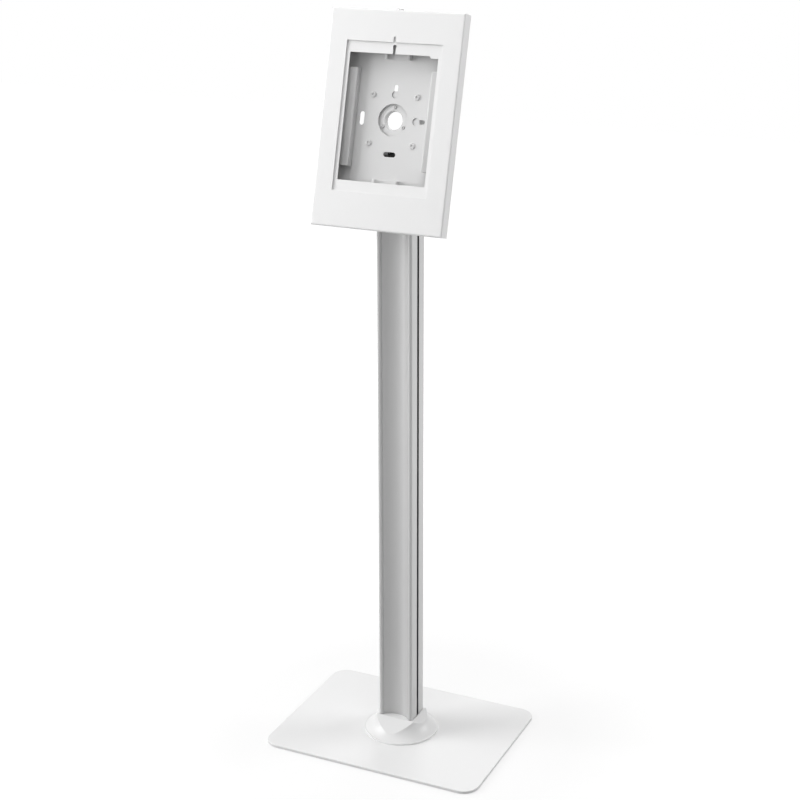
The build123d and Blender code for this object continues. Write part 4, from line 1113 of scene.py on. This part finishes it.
head_radius, head_height = LOCK_HEAD
body_radius, body_length = LOCK_BODY
barrel_profile = [(LOCK_PLUG + 0.05, -body_length), (body_radius - 0.4, -body_length)]
z = -body_length + 0.5
while z < -4.5:
    barrel_profile += [(body_radius, z + 0.2), (body_radius, z + 0.35), (body_radius - 0.35, z + 0.8)]
    z += 1.0
barrel_profile += [(body_radius, -4.2), (body_radius, 0), (head_radius, 0), (head_radius, head_height - 0.9)]
barrel_profile += [(head_radius - 0.15, head_height - 0.45), (head_radius - 0.5, head_height - 0.12)]
barrel_profile += [(head_radius - 0.9, head_height), (LOCK_PLUG + 0.9, head_height)]
barrel_profile += [(LOCK_PLUG + 0.5, head_height - 0.35), (LOCK_PLUG + 0.05, head_height - 0.4)]
barrel = Shape().lathe(barrel_profile, at_lock, steps=64)
piece("lock_body", barrel, "cover", chrome, ["lock_barrel"], soft_angle=35)


# ---------- lock

key_corners = [(x * KEYWAY[0] / 2, y * KEYWAY[1] / 2, 0.3) for x, y in ((-1, -1), (1, -1), (1, 1), (-1, 1))]
plug_top = head_height - 0.4
keyway_floor = plug_top - KEYWAY[2]
plug_loops = [circle((0, 0), LOCK_PLUG, 48), bent_outline(key_corners)]
plug = Shape().cut_sheet(plug_loops, keyway_floor, plug_top, at_lock, edge=0.15)
plug.turned([(LOCK_PLUG, -body_length), (LOCK_PLUG, keyway_floor)], at_lock, steps=48)
piece("key_plug", plug, "lock", lock_face, ["lock_plug"])

cam_end = math.sqrt(CAM_REACH**2 - CAM_HALF**2)
meet = math.degrees(math.asin(CAM_HALF / CAM_HUB))
cam_outline = arc((0, 0), CAM_HUB, 90 + meet, 450 - meet, 28)
cam_outline += [(CAM_HALF, cam_end - 0.8), (CAM_HALF - 0.8, cam_end)]
cam_outline += [(0.8 - CAM_HALF, cam_end), (-CAM_HALF, cam_end - 0.8)]
cam_loops = [cam_outline, circle((0, 0), CAM_BORE, 20)]
cam = Shape().cut_sheet(cam_loops, CAM_SPAN[0], CAM_SPAN[1], at_lock, edge=0.25)
piece("latch_cam", cam, "lock", zinc, ["lock_cam"])


# ---------- CAD nodes that stay

zinc_nodes = ["foot_screws", "tilt_spacer", "tilt_washers", "frame_studs", "frame_nuts"]
zinc_nodes += ["lock_nut", "cam_screw"]
nylon_nodes = ["tilt_friction_washers", "swivel_washer_rear", "swivel_washer_front"]
for material, names in ((zinc, zinc_nodes), (nylon, nylon_nodes), (black_coat, ["neck_screws"])):
    for name in names:
        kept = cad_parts[name]
        if not kept.data.materials:
            kept.data.materials.append(material)
        for slot in kept.material_slots:
            slot.material = material


# ---------- studio


def background_rays(tree):
    """1 for the rays that show the background itself: the camera's own and those in gloss and glass."""
    seen = node(tree, "ShaderNodeLightPath").outputs
    in_object = {0: seen["Is Glossy Ray"], 1: seen["Is Transmission Ray"]}
    reflected = node(tree, "ShaderNodeMath", in_object, operation="MAXIMUM")
    shown = {0: seen["Is Camera Ray"], 1: reflected.outputs[0]}
    return node(tree, "ShaderNodeMath", shown, operation="MAXIMUM").outputs[0]


floor_mesh = bpy.data.meshes.new("studio_floor")
r = FLOOR_REACH
floor_mesh.from_pydata([(-r, -r, 0), (r, -r, 0), (r, r, 0), (-r, r, 0)], [], [(0, 1, 2, 3)])
floor_obj = linked("studio_floor", floor_mesh)

floor_material = bpy.data.materials.new("studio_floor")
floor_material.use_nodes = True
tree = floor_material.node_tree
tree.nodes.clear()
pale = node(tree, "ShaderNodeBsdfDiffuse", Color=grey(FLOOR_SHOWN))
darker = node(tree, "ShaderNodeBsdfDiffuse", Color=grey(FLOOR_BOUNCE))
spot = node(tree, "ShaderNodeTexCoord")
reach = node(tree, "ShaderNodeVectorMath", {0: spot.outputs["Object"]}, operation="LENGTH")
ends = dict(zip(("From_Min", "From_Max", "To_Min", "To_Max"), GLOW_RANGE + GLOW_LEVELS))
rise = node(tree, "ShaderNodeMapRange", {"Value": reach.outputs["Value"]}, **ends)
glow = node(tree, "ShaderNodeEmission", {"Strength": rise.outputs[0]}, Color=grey(1.0))
both = node(tree, "ShaderNodeAddShader", {0: pale.outputs[0], 1: glow.outputs[0]})
choose = node(tree, "ShaderNodeMixShader", {0: background_rays(tree), 1: darker.outputs[0], 2: both.outputs[0]})
node(tree, "ShaderNodeOutputMaterial", {"Surface": choose.outputs[0]})
floor_mesh.materials.append(floor_material)

world = bpy.data.worlds.new("studio")
bpy.context.scene.world = world
world.use_nodes = True
tree = world.node_tree
tree.nodes.clear()
lit = node(tree, "ShaderNodeBackground", Color=grey(1.0), Strength=WORLD_LIGHT)
white = node(tree, "ShaderNodeBackground", Color=grey(1.0), Strength=1.0)
choose = node(tree, "ShaderNodeMixShader", {0: background_rays(tree), 1: lit.outputs[0], 2: white.outputs[0]})
node(tree, "ShaderNodeOutputWorld", {"Surface": choose.outputs[0]})

# Square soft boxes that face the stand, with azimuths measured from the front towards the right
for name, azimuth, elevation, distance, size, power in (
    ("low_left", -60, 15, 3.5, 1.8, 78.0),
    ("far_left", -79, 22, 4.5, 2.2, 34.0),
    ("high_left", -60, 40, 3.0, 1.2, 8.0),
    ("low_front", -15, 12, 3.5, 1.8, 10.0),
    ("high_front", 10, 55, 3.4, 1.6, 12.0),
    ("front_right", 50, 18, 3.5, 1.8, 13.0),
    ("right_rear", 122, 14, 3.2, 1.7, 46.0),
    ("rear", 190, 18, 3.5, 2.0, 28.0),
    ("overhead", 0, 85, 3.0, 2.0, 42.0),
):
    side, rise = math.radians(azimuth), math.radians(elevation)
    away = Vector((math.sin(side) * math.cos(rise), -math.cos(side) * math.cos(rise), math.sin(rise)))
    light = bpy.data.lights.new(name, "AREA")
    light.shape = "SQUARE"
    light.size = size
    light.energy = power
    soft_box = linked(name, light)
    soft_box.location = LIGHT_TARGET + away * distance
    soft_box.rotation_euler = (-away).to_track_quat("-Z", "Y").to_euler()

# Camera fitted to the photo: right and in front of the stand, looking down a little
azimuth, pitch, roll = (math.radians(angle) for angle in CAMERA_ANGLES)
look = Vector((-math.sin(azimuth) * math.cos(pitch), math.cos(azimuth) * math.cos(pitch), -math.sin(pitch)))
level_right = Vector((math.cos(azimuth), math.sin(azimuth), 0.0))
level_up = level_right.cross(look)
camera_right = math.cos(roll) * level_right + math.sin(roll) * level_up
camera_up = -math.sin(roll) * level_right + math.cos(roll) * level_up
lens = bpy.data.cameras.new("camera")
lens.sensor_fit = "HORIZONTAL"
lens.sensor_width = SENSOR
lens.lens = SENSOR * FOCAL_PIXELS / IMAGE_PIXELS
lens.clip_end = 50.0
camera = linked("camera", lens)
camera.matrix_world = place(CAMERA_PLACE, camera_right, camera_up, -look)
bpy.context.scene.camera = camera
bpy.context.scene.view_settings.view_transform = "Standard"
